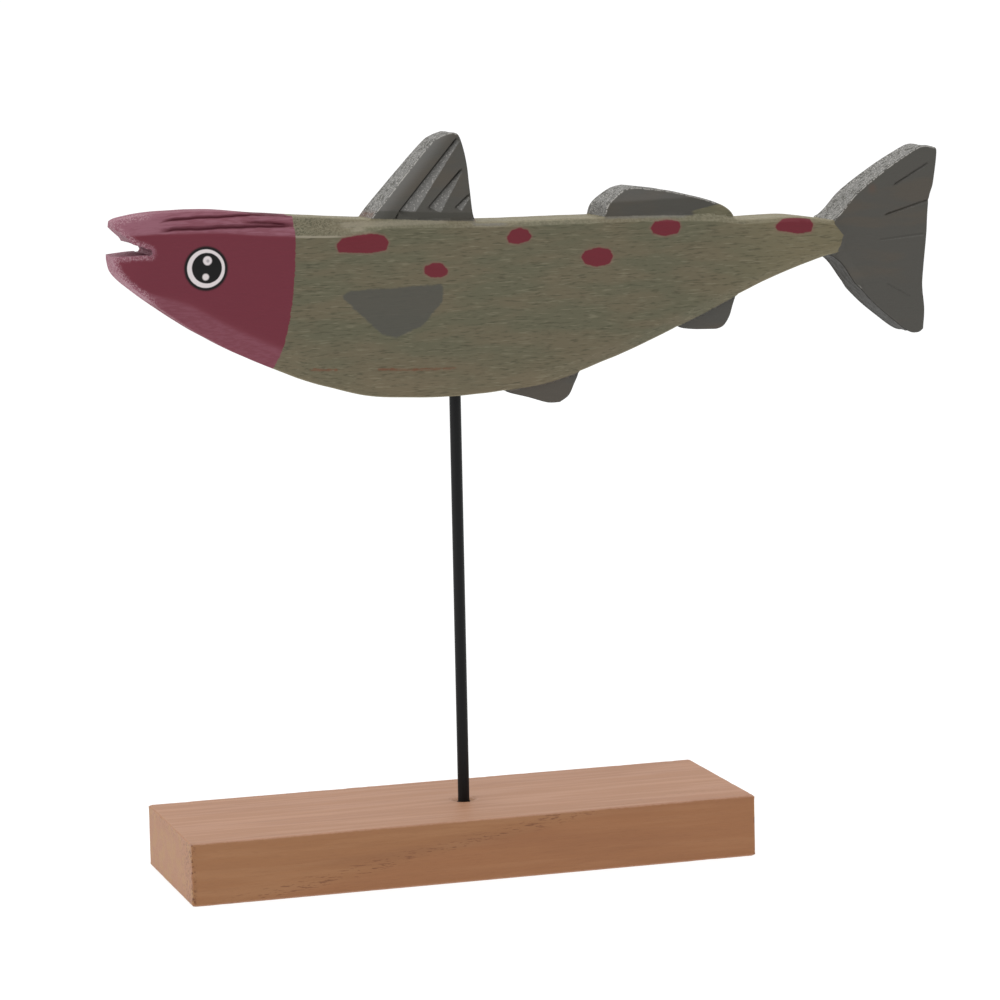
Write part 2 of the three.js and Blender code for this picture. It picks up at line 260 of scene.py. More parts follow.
class PaintSettings(bpy.types.PropertyGroup):
    """Colours of the fish."""

    head: colour("Head", "Maroon of the head", 113, 46, 59)
    # Painted highlight: a lighter maroon put on the head's upper and lower facets, the snout, upward sawn edges, the
    # mouth's walls and round the curl.
    head_highlight: colour("Rubbed head", "Maroon where the wash is thin", 142, 90, 104)
    head_chalk: colour("Chalky head", "Pale flecks at the snout and jaw", 186, 150, 158)
    # Painted shade: a dark maroon in the knife lines, where paint also pools, and in the drilled curl of the mouth.
    head_shade_and_pooled_paint: colour("Head cuts", "Maroon in the head's knife lines", 74, 22, 36)
    body: colour("Body", "Olive wash on the body", 103, 98, 79)
    body_green: colour("Green patches", "Greener parts of the olive wash", 97, 98, 77)
    body_brown: colour("Brown patches", "Browner parts of the olive wash", 115, 104, 82)
    body_dark: colour("Dark grain", "Dark flecks in the grain", 72, 70, 54)
    # Pale flecks of the grain; also painted light on the back's upward shoulder, and the pale of the sawn edges.
    body_pale: colour("Pale grain", "Pale flecks in the grain", 142, 135, 112)
    # A painted highlight along the back's ridge, and the pale strokes on the shoulder.
    body_chalk: colour("Chalky ridge", "Rubbed strokes on the shoulder", 160, 152, 134)
    stem: colour("Stem", "Tan wash towards the tail", 124, 114, 88)
    bare_wood: colour("Bare wood", "Wood showing through the wash", 112, 74, 54)
    fins: colour("Fins", "Grey of the fins", 82, 80, 75)
    fins_brown: colour("Brown fins", "Browner parts of the fins", 90, 82, 72)
    # Painted light on the fins: the panel before the first cut, the upper band of the second dorsal, the cuts' sloping
    # sides and upward sawn edges; also the grey strokes on the back.
    fins_pale_and_highlight: colour("Pale fins", "Grey on the cut facets and upper edges", 120, 119, 116)
    # Painted shade along the feet of the fins and the lower part of the second dorsal; also dark mottle on the sawn
    # edges.
    fins_shade_and_mottle: colour("Dark fins", "Grey along the feet of the fins", 66, 65, 58)
    # Painted shade: the deep lines of the cuts, the downward sawn edges, the chisel scoop at the tail's root and the
    # small hole in the tail.
    fins_painted_shade: colour("Fin cuts", "Grey deep in the cuts and under the tail", 46, 45, 41)
    fin_flecks: colour("Fin flecks", "Bare flecks on the fins' sawn edges", 190, 187, 181)
    side_fin: colour("Side fin", "Grey of the fin painted on the side", 82, 81, 75)
    spots: colour("Spots", "Dark red of the spots", 110, 38, 48)
    spot_rim: colour("Spot rims", "Thin red round the spots", 134, 98, 88)
    eye_white: colour("Eye white", "White ring and dots of the eye", 226, 217, 218)
    eye_grey: colour("Eye grey", "Grey in the eye's upper dot", 120, 118, 122)
    eye_black: colour("Eye black", "Black of the eye", 9, 9, 10)


class StandSettings(bpy.types.PropertyGroup):
    """Finish of the block and rod."""

    wood: colour("Wood", "Middle tone of the block", 158, 108, 68)
    wood_pale: colour("Pale streaks", "Pale streaks of the block", 170, 122, 82)
    wood_dark: colour("Dark streaks", "Dark streaks of the block", 140, 92, 58)
    wood_red: colour("Red wood", "Redder wood under the flecked band", 158, 100, 62)
    # Dust on the top and worn edges, also a painted sheen that lightens the whole top face.
    wood_dust_and_sheen: colour("Dusty wood", "Wood bleached and rubbed on top and on its edges", 192, 148, 124)
    pores: colour("Pores", "Dark pores and specks in the block", 106, 58, 32)
    end_grain: colour("End grain", "Sawn end of the block", 168, 118, 84)
    end_yellow: colour("Yellow end grain", "Yellower parts of the sawn end", 172, 128, 80)
    rod: colour("Rod", "Satin black of the rod", 18, 19, 20)
    rod_roughness: share("Rod roughness", "How dull the rod's paint is", 0.42)


class StageSettings(bpy.types.PropertyGroup):
    """Camera, lights and floor."""

    camera_x: FloatProperty(name="Camera X", description="Camera place along X", default=-0.381302, unit="LENGTH")
    camera_y: FloatProperty(name="Camera Y", description="Camera place along Y", default=-1.307558, unit="LENGTH")
    camera_z: FloatProperty(name="Camera Z", description="Camera height", default=0.319744, unit="LENGTH")
    yaw: angle("Yaw", "How far the camera looks to the right of +Y", 17.06)
    pitch: angle("Pitch", "How far the camera looks down", 8.09)
    roll: angle("Roll", "How far the camera leans", -1.16)
    lens: FloatProperty(name="Lens", description="Focal length on a 36 mm sensor, in mm", default=144.3, min=1)
    sky: FloatProperty(name="Sky", description="Brightness of the white surroundings", default=1.0, min=0)
    sky_front: FloatProperty(name="Dark front", description="Brightness behind the camera", default=0.4, min=0)
    top_light: FloatProperty(name="Top light", description="Power of the soft light above, in W", default=11, min=0)
    side_light: FloatProperty(name="Side light", description="Power of the soft light on the left, in W", default=3, min=0)
    floor_glow: FloatProperty(name="Floor glow", description="How strongly the white floor shines", default=0.86, min=0)


# Flat geometry in millimetres

def read_profile(points, x):
    """A smooth curve through (x, value) points that never swings past them."""
    at, value = np.array(points, float).T
    rise = np.diff(value) / np.diff(at)
    product = rise[:-1] * rise[1:]
    total = np.where(product > 0, rise[:-1] + rise[1:], 1)
    slope = np.concatenate([rise[:1], np.where(product > 0, 2 * product / total, 0), rise[-1:]])
    x = np.clip(x, at[0], at[-1])
    i = np.clip(np.searchsorted(at, x) - 1, 0, len(at) - 2)
    step = at[i + 1] - at[i]
    t = (x - at[i]) / step
    lower = value[i] * (1 + 2 * t) * (1 - t) ** 2 + slope[i] * step * t * (1 - t) ** 2
    upper = value[i + 1] * t * t * (3 - 2 * t) - slope[i + 1] * step * t * t * (1 - t)
    return lower + upper


def smooth_run(points, steps=14):
    """Points along a smooth curve through the given ones."""
    p = np.array(points, float)
    padded = np.vstack([p[:1], p, p[-1:]])
    t = np.linspace(0, 1, steps, endpoint=False)[:, None]
    parts = []
    for a, b, c, d in zip(padded, padded[1:], padded[2:], padded[3:]):
        leave, arrive = (c - a) / 2, (d - b) / 2
        cubic = (2 * b - 2 * c + leave + arrive) * t ** 3
        square = (3 * c - 3 * b - 2 * leave - arrive) * t ** 2
        parts.append(cubic + square + leave * t + b)
    return np.vstack(parts + [p[-1:]])


def fin_outline(fin):
    runs = [smooth_run(run) for run in fin["runs"]]
    return np.vstack([run[:-1] for run in runs] + [runs[-1][-1:]])


def body_outline():
    along = np.arange(NOSE_X, STEM_X + 0.4, 0.8)
    under = np.column_stack([along, read_profile(BELLY, along)])
    over = np.column_stack([along, read_profile(BACK, along)])
    return np.vstack([under, over[::-1]])


def spaced_line(points, spacing):
    """The same open line with evenly spaced points between its corners."""
    p = np.array(points, float)
    parts = []
    for a, b in zip(p, p[1:]):
        count = max(1, int(round(np.linalg.norm(b - a) / spacing)))
        t = np.arange(count)[:, None] / count
        parts.append(a + (b - a) * t)
    return np.vstack(parts + [p[-1:]])


def by_parts(function, points, size=1500):
    """Runs a heavy function on a few points at a time."""
    pieces = [points[i:i + size] for i in range(0, len(points), size)]
    return np.concatenate([function(piece) for piece in pieces])


def inside(points, polygon):
    """True for each point inside a closed polygon."""
    ax, az = np.array(polygon, float).T
    bx, bz = np.roll(ax, -1), np.roll(az, -1)
    rise = np.where(bz == az, 1e-12, bz - az)

    def test(piece):
        x, z = piece[:, :1], piece[:, 1:]
        crossed = (az > z) != (bz > z)
        return (crossed & (x < ax + (z - az) * (bx - ax) / rise)).sum(1) % 2 == 1

    return by_parts(test, points)


def distance(points, line, closed=True):
    """Distance of each point from a line of straight pieces."""
    line = np.array(line, float)
    ahead = np.roll(line, -1, 0) - line
    if not closed:
        line, ahead = line[:-1], ahead[:-1]
    (ax, az), (rx, rz) = line.T, ahead.T
    square = np.maximum(rx * rx + rz * rz, 1e-12)

    def measure(piece):
        dx, dz = piece[:, :1] - ax, piece[:, 1:] - az
        t = np.clip((dx * rx + dz * rz) / square, 0, 1)
        dx -= t * rx
        dz -= t * rz
        return np.sqrt((dx * dx + dz * dz).min(1))

    return by_parts(measure, points)


def distance_near(points, line, reach):
    """Distance from an open line, measured only near it and `reach` elsewhere."""
    close = np.all((points > line.min(0) - reach) & (points < line.max(0) + reach), 1)
    away = np.full(len(points), float(reach))
    if close.any():
        away[close] = distance(points[close], line, closed=False)
    return away


def signed_distance(points, polygon):
    """Distance from a polygon's line, less than 0 inside it."""
    away = distance(points, polygon)
    return np.where(inside(points, polygon), -away, away)


def ripple(points, size, seed):
    """Smooth noise of about -1 to 1, with humps about `size` across."""
    scaled = np.asarray(points, float) / size + seed
    return np.array([noise.noise(Vector(p)) for p in scaled])


def triangulate(points, edges):
    """Points and triangles of a plane mesh that keeps the given edges."""
    flat = [Vector((float(x), float(z))) for x, z in points]
    found, _, faces, *_ = geometry.delaunay_2d_cdt(flat, edges, [], 0, 1e-4, True)
    return np.array([(p.x, p.y) for p in found]), np.array([list(f) for f in faces])


def rim_after(faces):
    """For each point on the border of these triangles, the next one along."""
    directed = {(f[i], f[(i + 1) % 3]) for f in faces.tolist() for i in range(3)}
    return {a: b for a, b in directed if (b, a) not in directed}


def walk(after):
    """The longest closed line in a border, in order."""
    loops, left = [], dict(after)
    while left:
        start = here = next(iter(left))
        loop = [here]
        while left[here] != start:
            here = left.pop(here)
            loop.append(here)
        left.pop(here)
        loops.append(loop)
    return max(loops, key=len)


def merged_outline(shapes, cutters):
    """One line round several closed shapes, less the cutters."""
    points, edges = [], []
    for shape in [*shapes, *cutters]:
        first, count = len(points), len(shape)
        points.extend(shape)
        edges.extend((first + i, first + (i + 1) % count) for i in range(count))
    found, faces = triangulate(points, edges)
    middle = found[faces].mean(1)
    kept = np.any([inside(middle, shape) for shape in shapes], 0)
    kept &= ~np.any([inside(middle, shape) for shape in cutters], 0)
    return found[walk(rim_after(faces[kept]))]


def respaced(loop, spacing, corner=math.radians(24)):
    """A closed line with even spacing that keeps its corners."""
    gap = np.linalg.norm(np.roll(loop, -1, 0) - loop, axis=1)
    loop = loop[gap > 0.02]
    ahead = np.roll(loop, -1, 0) - loop
    behind = loop - np.roll(loop, 1, 0)
    turn = np.arctan2(
        behind[:, 0] * ahead[:, 1] - behind[:, 1] * ahead[:, 0], (behind * ahead).sum(1)
    )
    corners = np.flatnonzero(np.abs(turn) > corner)
    parts = []
    for start, end in zip(corners, np.roll(corners, -1)):
        section = np.arange(start, end + 1 if end > start else end + len(loop) + 1) % len(loop)
        line = loop[section]
        travelled = np.concatenate([[0], np.cumsum(np.linalg.norm(np.diff(line, axis=0), axis=1))])
        count = max(1, int(round(travelled[-1] / spacing)))
        at = travelled[-1] * np.arange(count) / count
        parts.append(np.column_stack([np.interp(at, travelled, line[:, k]) for k in (0, 1)]))
    return np.vstack(parts)


def outward(loop):
    """Unit vectors pointing out of a line that runs anticlockwise."""
    run = np.roll(loop, -1, 0) - np.roll(loop, 1, 0)
    run /= np.linalg.norm(run, axis=1)[:, None]
    return np.column_stack([run[:, 1], -run[:, 0]])


def staggered_grid(low, high, spacing, seed):
    """Points in staggered rows, each moved a little."""
    rows = np.arange(low[1], high[1], spacing * math.sqrt(3) / 2)
    columns = np.arange(low[0], high[0], spacing)
    x, z = np.meshgrid(columns, rows)
    x[1::2] += spacing / 2
    points = np.column_stack([x.ravel(), z.ravel()])
    return points + np.random.default_rng(seed).uniform(-0.14, 0.14, points.shape) * spacing


def slab_plan(outline, creases, spacing, arris, seed):
    """A plane mesh inside an outline: a row of points just inside it, its creases, and a grid."""
    points = [outline]
    count = len(outline)
    edges = [(i, (i + 1) % count) for i in range(count)]
    ring = outline - outward(outline) * arris
    ring = ring[inside(ring, outline) & (distance(ring, outline) > 0.8 * arris)]
    points.append(ring)
    total = count + len(ring)
    for crease in creases:
        good = inside(crease, outline) & (distance(crease, outline) > 0.8 * arris)
        index = np.full(len(crease), -1)
        index[good] = total + np.arange(good.sum())
        edges.extend((a, b) for a, b in zip(index.tolist(), index.tolist()[1:]) if a >= 0 and b >= 0)
        points.append(crease[good])
        total += int(good.sum())
    grid = staggered_grid(outline.min(0), outline.max(0), spacing, seed)
    grid = grid[inside(grid, outline)]
    grid = grid[distance(grid, outline) > arris + 0.45 * spacing]
    for crease in creases:
        grid = grid[distance_near(grid, crease, spacing) > 0.42 * spacing]
    points.append(grid)
    found, faces = triangulate(np.vstack(points), edges)
    return found, faces[inside(found[faces].mean(1), outline)]


def build_slab(name, plan, heights, rows, roughen, place):
    """A closed mesh: the plan at two heights, and rows of faces between the two rims.

    heights gives the near and far height of each point, roughen moves the rim's points in
    the plane, and place turns (along, across, height) into the row's frame.
    """
    points, faces = plan
    near, far = heights(points)
    count = len(points)
    after = rim_after(faces)
    rim = np.array(walk(after))
    out = outward(points[rim])
    vertices = [place(points, near), place(points, far)]
    for row in range(1, rows):
        t = row / rows
        height = near[rim] * (1 - t) + far[rim] * t
        moved = points[rim] + out * roughen(points[rim], height)[:, None]
        vertices.append(place(moved, height))
    triangles = [faces, faces[:, ::-1] + count]
    around = len(rim)
    levels = [rim] + [2 * count + row * around + np.arange(around) for row in range(rows - 1)] + [rim + count]
    quads = []
    for upper, lower in zip(levels, levels[1:]):
        quads.append(np.column_stack([upper, lower, np.roll(lower, -1), np.roll(upper, -1)]))
    mesh = bpy.data.meshes.new(name)
    polygons = np.vstack(triangles).tolist() + np.vstack(quads).tolist()
    mesh.from_pydata((np.vstack(vertices) * MM).tolist(), [], polygons)
    mesh.validate()
    return mesh


def add_piece(name, mesh, node):
    """Puts a mesh in the scene as the piece that stands for a CAD node."""
    piece = bpy.data.objects.new(name, mesh)
    bpy.context.scene.collection.objects.link(piece)
    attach(piece, "root")
    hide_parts(node)
    return piece


def post_rings(radius, heights, sides, x):
    """Points and faces of a closed round post from (height, radius share) pairs."""
    turn = np.linspace(0, 2 * math.pi, sides, endpoint=False)
    circle = np.column_stack([np.cos(turn), np.sin(turn)]) * radius
    points, faces = [], []
    for height, part in heights:
        points.append(np.column_stack([circle * part + (x, 0), np.full(sides, height)]))
    for row in range(len(heights) - 1):
        a = row * sides + np.arange(sides)
        b = row * sides + (np.arange(sides) + 1) % sides
        faces.extend(np.column_stack([a, b, b + sides, a + sides]).tolist())
    faces.append(list(range(sides))[::-1])
    faces.append([(len(heights) - 1) * sides + i for i in range(sides)])
    return np.vstack(points), faces


def drill(mesh, radius, bottom, top, x):
    """The mesh with an upright round hole cut in it."""
    points, faces = post_rings(radius, [(bottom, 1), (top, 1)], 40, x)
    bit = bpy.data.meshes.new("drill_bit")
    bit.from_pydata((points * MM).tolist(), [], faces)
    blank = bpy.data.objects.new("drill_blank", mesh)
    tool = bpy.data.objects.new("drill_tool", bit)
    for thing in (blank, tool):
        bpy.context.scene.collection.objects.link(thing)
    cut = blank.modifiers.new("hole", "BOOLEAN")
    cut.operation = "DIFFERENCE"
    cut.solver = "MANIFOLD"
    cut.object = tool
    graph = bpy.context.evaluated_depsgraph_get()
    drilled = bpy.data.meshes.new_from_object(blank.evaluated_get(graph))
    for thing in (blank, tool):
        bpy.data.objects.remove(thing)
    bpy.data.meshes.remove(bit)
    drilled.name = mesh.name
    drilled.materials.clear()
    return drilled


def mark(mesh, name, values):
    """Stores one number for each point, for the material to read."""
    layer = mesh.attributes.new(name, "FLOAT", "POINT")
    layer.data.foreach_set("value", np.asarray(values, np.float32))


def mesh_points(mesh):
    """The mesh's points in millimetres."""
    flat = np.zeros(len(mesh.vertices) * 3, np.float32)
    mesh.vertices.foreach_get("co", flat)
    return flat.reshape(-1, 3).astype(float) / MM


def shade(mesh, degrees):
    """Smooth shading that stays crisp at edges sharper than this."""
    mesh.shade_smooth()
    mesh.set_sharp_from_angle(angle=math.radians(degrees))


# Relief of the fish: how far each side stands from its middle plane

def facet(t):
    """Falls evenly from 1 to 0 as t goes from 0 to 1, with a soft end."""
    soft = 0.05
    return (1 - t + np.sqrt((1 - t) ** 2 + soft ** 2)) / 2


def stem_end(points):
    """Distance beyond the line that ends the stem, less than 0 on the stem's side."""
    away = distance(points, TONGUE, closed=False)
    z = np.array([p[1] for p in TONGUE])[::-1]
    x = np.array([p[0] for p in TONGUE])[::-1]
    return np.where(points[:, 0] > np.interp(points[:, 1], z, x), away, -away)


def body_relief(points):
    x, z = points.T
    half = read_profile(HALF_THICKNESS, x)
    down = (read_profile(BACK, x) - z) / read_profile(SHOULDER_HEIGHT, x)
    up = (z - read_profile(BELLY, x)) / read_profile(KEEL_HEIGHT, x)
    shoulder = read_profile(SHOULDER_DEPTH, x) * facet(np.maximum(down, 0))
    keel = read_profile(KEEL_DEPTH, x) * facet(np.maximum(up, 0))
    return half - shoulder - keel


def fin_relief(fin, points):
    (root, thick), (tip, thin) = (np.array(fin["root"][0]), fin["root"][1]), (np.array(fin["tip"][0]), fin["tip"][1])
    run = tip - root
    t = np.clip(((points - root) @ run) / (run @ run), 0, 1)
    return thick + (thin - thick) * t


def cut_depth(cut, points):
    """Depth of a V cut at each point, and how far along its sloping side the point is."""
    start, end = np.array(cut["line"][0], float), np.array(cut["line"][1], float)
    run = end - start
    reach = np.linalg.norm(run)
    run /= reach
    along = (points - start) @ run
    across = (points - start) @ np.array([run[1], -run[0]])
    t = np.clip(along / reach, 0, 1)
    width = cut["width"][0] * (1 - t) + cut["width"][1] * t
    steep = np.clip(1 + across / cut["steep"], 0, 1)
    slope = np.clip(1 - across / width, 0, 1)
    ends = np.clip(along / 0.9 + 0.4 - across / width * 0.5, 0, 1) * np.clip((reach - along) / 1.2 + 0.5, 0, 1)
    return cut["depth"] * np.where(across < 0, steep, slope) * ends


def knife_height(line, x):
    """Height of a knife line's deepest part, with a slight wander."""
    at, z = np.array(line["line"]).T
    return np.interp(x, at, z) + 0.07 * np.sin(x * 0.5 + z[0]) + 0.04 * np.sin(x * 1.3 + z[0])


def knife_depth(line, points):
    """Depth of a knife line at each point."""
    x, z = points.T
    start, end = line["line"][0][0], line["line"][-1][0]
    offset = z - knife_height(line, x)
    slope = 1 - np.where(offset > 0, offset / line["above"], -offset / line["below"])
    ends = np.clip((x - start) / 5, 0, 1) * np.clip((end - x) / 5, 0, 1)
    return line["depth"] * np.clip(slope, 0, 1) * ends


def knife_crease(line, offset):
    """The knife line in the plane, moved up by `offset`."""
    x = np.arange(line["line"][0][0], line["line"][-1][0], 0.7)
    return np.column_stack([x, knife_height(line, x) + offset])


def cut_creases(cut):
    """The deep line of a V cut and its two upper edges."""
    start, end = np.array(cut["line"][0], float), np.array(cut["line"][1], float)
    run = (end - start) / np.linalg.norm(end - start)
    across = np.array([run[1], -run[0]])
    return [
        spaced_line([start, end], 0.7),
        spaced_line([start - across * cut["steep"], end - across * cut["steep"]], 0.7),
        spaced_line([start + across * cut["width"][0], end + across * cut["width"][1]], 0.7),
    ]


class FishForm:
    """Outline and relief of the carved fish."""

    def __init__(self, settings):
        self.arris = settings.arris / MM
        self.waviness = settings.waviness / MM
        self.spacing = settings.grid / MM
        self.body = body_outline()
        self.fins = [fin_outline(fin) for fin in FINS]
        loop = merged_outline([self.body, *self.fins], [np.array(MOUTH, float)])
        loop = respaced(loop, self.spacing)
        wobble = ripple(np.column_stack([loop, np.zeros(len(loop))]), 7, 3.1)
        self.outline = loop + outward(loop) * (wobble * 0.12 - 0.12)[:, None]

    def creases(self):
        along = np.arange(NOSE_X + 2, STEM_X, 0.8)
        back, belly = read_profile(BACK, along), read_profile(BELLY, along)
        lines = [
            np.column_stack([along, back]),
            np.column_stack([along, belly]),
            np.column_stack([along, back - read_profile(SHOULDER_HEIGHT, along)]),
            np.column_stack([along, belly + read_profile(KEEL_HEIGHT, along)]),
            spaced_line(TONGUE, 0.7),
        ]
        for cut in FIN_CUTS:
            lines.extend(cut_creases(cut))
        for line in KNIFE_LINES:
            lines.extend(knife_crease(line, offset) for offset in (-line["below"], 0, line["above"]))
        return lines

    def relief(self, points):
        """Half the thickness at each point of the side view."""
        x, z = points.T
        over = np.maximum(z - read_profile(BACK, x), read_profile(BELLY, x) - z)
        stem = stem_end(points)
        on_body = (over <= 1e-3) & (stem < 0) & (x < STEM_X)
        bevel = np.clip(stem / 1.6, 0, 1)
        step = np.where((stem > 0) & (over < 0.5), (1 - bevel) * 1.1, 0)
        half = np.where(on_body, body_relief(points), 0)
        for fin, shape in zip(FINS, self.fins):
            near = np.all((points > shape.min(0) - 1) & (points < shape.max(0) + 1), 1)
            away = np.full(len(points), 1.0)
            if near.any():
                away[near] = signed_distance(points[near], shape)
            height = fin_relief(fin, points)
            if fin is TAIL:
                height = height + step
                height -= 1.8 * self.tail_scoop(points)
            for cut in FIN_CUTS:
                height = height - np.where(over > 0.3, cut_depth(cut, points), 0)
            half = np.where(away < 0.35, np.maximum(half, height), half)
        for line in KNIFE_LINES:
            half = half - knife_depth(line, points)
        return half

    def tail_scoop(self, points):
        """A chisel cut on the lower root of the tail, from 0 to 1."""
        line = distance(points, np.array([(140.5, 206), (143.8, 201.6), (149, 195)], float), closed=False)
        return np.clip(1.2 - line / 3.2, 0, 1)

    def heights(self, points):
        """Near and far height, with broken arrises and the knife's waviness."""
        base = self.relief(points)
        inward = np.clip(1 - distance(points, self.outline) / self.arris, 0, 1)
        base = base - self.arris * (1 - np.sqrt(1 - inward ** 2))
        sides = []
        for seed in (1.7, 8.3):
            flat = np.column_stack([points[:, 0] / 6, points[:, 1], np.zeros(len(points))])
            wave = ripple(flat, 5.5, seed) * 0.7 + ripple(flat, 2, seed + 4) * 0.3
            sides.append(base + self.waviness * (wave - 0.6))
        return sides[0], -sides[1]


def lay_out_marks(mesh, form):
    """Writes what the fish's paint follows: fins, spots, sawn edges, cuts and slopes, and which way the surface faces,
    for the painted light and shade.
    """
    points = mesh_points(mesh)
    flat = points[:, [0, 2]]
    x, z = flat.T
    over = np.maximum(z - read_profile(BACK, x), read_profile(BELLY, x) - z)
    mark(mesh, "fin", np.maximum(over, stem_end(flat)))
    normals = np.zeros(len(mesh.vertices) * 3, np.float32)
    mesh.vertices.foreach_get("normal", normals)
    nx, ny, nz = normals.reshape(-1, 3).T
    # The painted light and shade follow this: lighter on upward faces, darker on downward ones.
    mark(mesh, "upward", np.clip(nz - 0.45 * nx, 0, 1))
    rim = distance(flat, form.outline)
    mark(mesh, "sawn", np.clip((0.85 - np.abs(ny)) * 2, 0, 1) * (rim < 1))
    mark(mesh, "rim", rim)
    spots = np.min([signed_distance(flat, spot) for spot in SPOTS], 0)
    mark(mesh, "spot", spots)
    mark(mesh, "side_fin", signed_distance(flat, SIDE_FIN))
    mark(mesh, "bare", np.min([distance(flat, streak, closed=False) for streak in STREAKS], 0))
    mark(mesh, "cut", np.max([knife_depth(line, flat) / line["depth"] for line in KNIFE_LINES], 0))
    # The painted highlight on the head's and back's facets follows this slope.
    down = np.clip(1 - (read_profile(BACK, x) - z) / read_profile(SHOULDER_HEIGHT, x), 0, 1)
    up = np.clip(1 - (z - read_profile(BELLY, x)) / read_profile(KEEL_HEIGHT, x), 0, 1)
    mark(mesh, "slope", np.where(over > 0, 0, down - up))


# Shader building

class Wire:
    """A node's output, ready for arithmetic."""

    def __init__(self, finish, socket):
        self.finish = finish
        self.socket = socket

    def math(self, operation, *values):
        return self.finish.node("ShaderNodeMath", {"operation": operation}, dict(enumerate(values)))

    def __add__(self, other):
        return self.math("ADD", self, other)

    def __radd__(self, other):
        return self.math("ADD", other, self)

    def __sub__(self, other):
        return self.math("SUBTRACT", self, other)

    def __rsub__(self, other):
        return self.math("SUBTRACT", other, self)

    def __mul__(self, other):
        return self.math("MULTIPLY", self, other)

    def __rmul__(self, other):
        return self.math("MULTIPLY", other, self)

    def __truediv__(self, other):
        return self.math("DIVIDE", self, other)

    def __pow__(self, other):
        return self.math("POWER", self, other)

    def at_least(self, other):
        return self.math("MAXIMUM", self, other)

    def at_most(self, other):
        return self.math("MINIMUM", self, other)


class Finish:
    """A material, built one node at a time."""

    def __init__(self, name, colours=None):
        self.material = bpy.data.materials.new(name)
        self.material.use_nodes = True
        self.tree = self.material.node_tree
        self.tree.nodes.clear()
        self.colours = colours
        self.x, self.y, self.z = self.place()

    def tones(self, name):
        """One of the user's colours."""
        return tuple(getattr(self.colours, name))

    def node(self, kind, settings=None, inputs=None, output=0):
        """Adds a node. Settings come first, then values or links for its sockets."""
        made = self.tree.nodes.new(kind)
        for name, value in (settings or {}).items():
            if name == "stops":
                ramp = made.color_ramp.elements
                while len(ramp) < len(value):
                    ramp.new(1)
                for stop, (at, tone) in zip(ramp, value):
                    stop.position, stop.color = at, (*tone, 1)
            else:
                setattr(made, name, value)
        for name, value in (inputs or {}).items():
            if isinstance(value, Wire):
                self.tree.links.new(value.socket, made.inputs[name])
            elif isinstance(value, tuple) and len(value) == 3 and made.inputs[name].type == "RGBA":
                made.inputs[name].default_value = (*value, 1)
            else:
                made.inputs[name].default_value = value
        return Wire(self, made.outputs[output])

    def mark(self, name):
        return self.node("ShaderNodeAttribute", {"attribute_name": name}, output="Fac")

    def place(self):
        """The three object coordinates in millimetres."""
        spot = self.node("ShaderNodeTexCoord", output="Object")
        spot = self.node("ShaderNodeVectorMath", {"operation": "SCALE"}, {0: spot, "Scale": 1 / MM})
        return [self.node("ShaderNodeSeparateXYZ", inputs={0: spot}, output=axis) for axis in "XYZ"]

    def point(self, x, y, z):
        return self.node("ShaderNodeCombineXYZ", inputs={"X": x, "Y": y, "Z": z})

    def noise(self, vector, scale=1.0, detail=2.0, roughness=0.5, distortion=0.0):
        values = {"Vector": vector, "Scale": scale, "Detail": detail, "Roughness": roughness, "Distortion": distortion}
        return self.node("ShaderNodeTexNoise", inputs=values, output=0)

    def grain(self, along, across, detail=2.0, shift=0.0):
        """Wood figure drawn out along X: about `along` mm long and `across` mm wide."""
        x, y, z = self.x * (1 / along), self.y * (1 / across) + shift, self.z * (1 / across)
        return self.noise(self.point(x, y, z), detail=detail, roughness=0.55)

    def lumps(self, scale, detail=2.0, shift=0.0):
        """Even noise, with `scale` humps to a millimetre."""
        spot = self.point(self.x + shift * 10, self.y, self.z)
        return self.noise(spot, scale=scale, detail=detail, roughness=0.6)

    def ramp(self, value, low, high):
        """Rises smoothly from 0 at low to 1 at high."""
        values = {"Value": value, "From Min": low, "From Max": high}
        return self.node("ShaderNodeMapRange", {"interpolation_type": "SMOOTHSTEP"}, values)

    def mix(self, first, second, factor):
        """Goes from the first colour to the second."""
        return self.node("ShaderNodeMix", {"data_type": "RGBA"}, {0: factor, 6: first, 7: second}, output=2)

    def tint(self, tone, factor):
        """A colour made lighter or darker by a number."""
        return self.node("ShaderNodeVectorMath", {"operation": "SCALE"}, {0: tone, "Scale": factor})

    def bump(self, height, distance_m, strength=1.0):
        values = {"Height": height, "Distance": distance_m, "Strength": strength}
        return self.node("ShaderNodeBump", inputs=values)

    def surface(self, **sockets):
        """Ends the material in one Principled shader."""
        values = {name.replace("_", " "): value for name, value in sockets.items()}
        shader = self.node("ShaderNodeBsdfPrincipled", inputs=values)
        output = self.tree.nodes.new("ShaderNodeOutputMaterial")
        self.tree.links.new(shader.socket, output.inputs["Surface"])
        return self.material


def beside(line, x, z):
    """Distance along and across a straight line on the side, and the line's length."""
    (x0, z0), (x1, z1) = line
    reach = math.hypot(x1 - x0, z1 - z0)
    run_x, run_z = (x1 - x0) / reach, (z1 - z0) / reach
    dx, dz = x - x0, z - z0
    return dx * run_x + dz * run_z, dx * run_z - dz * run_x, reach


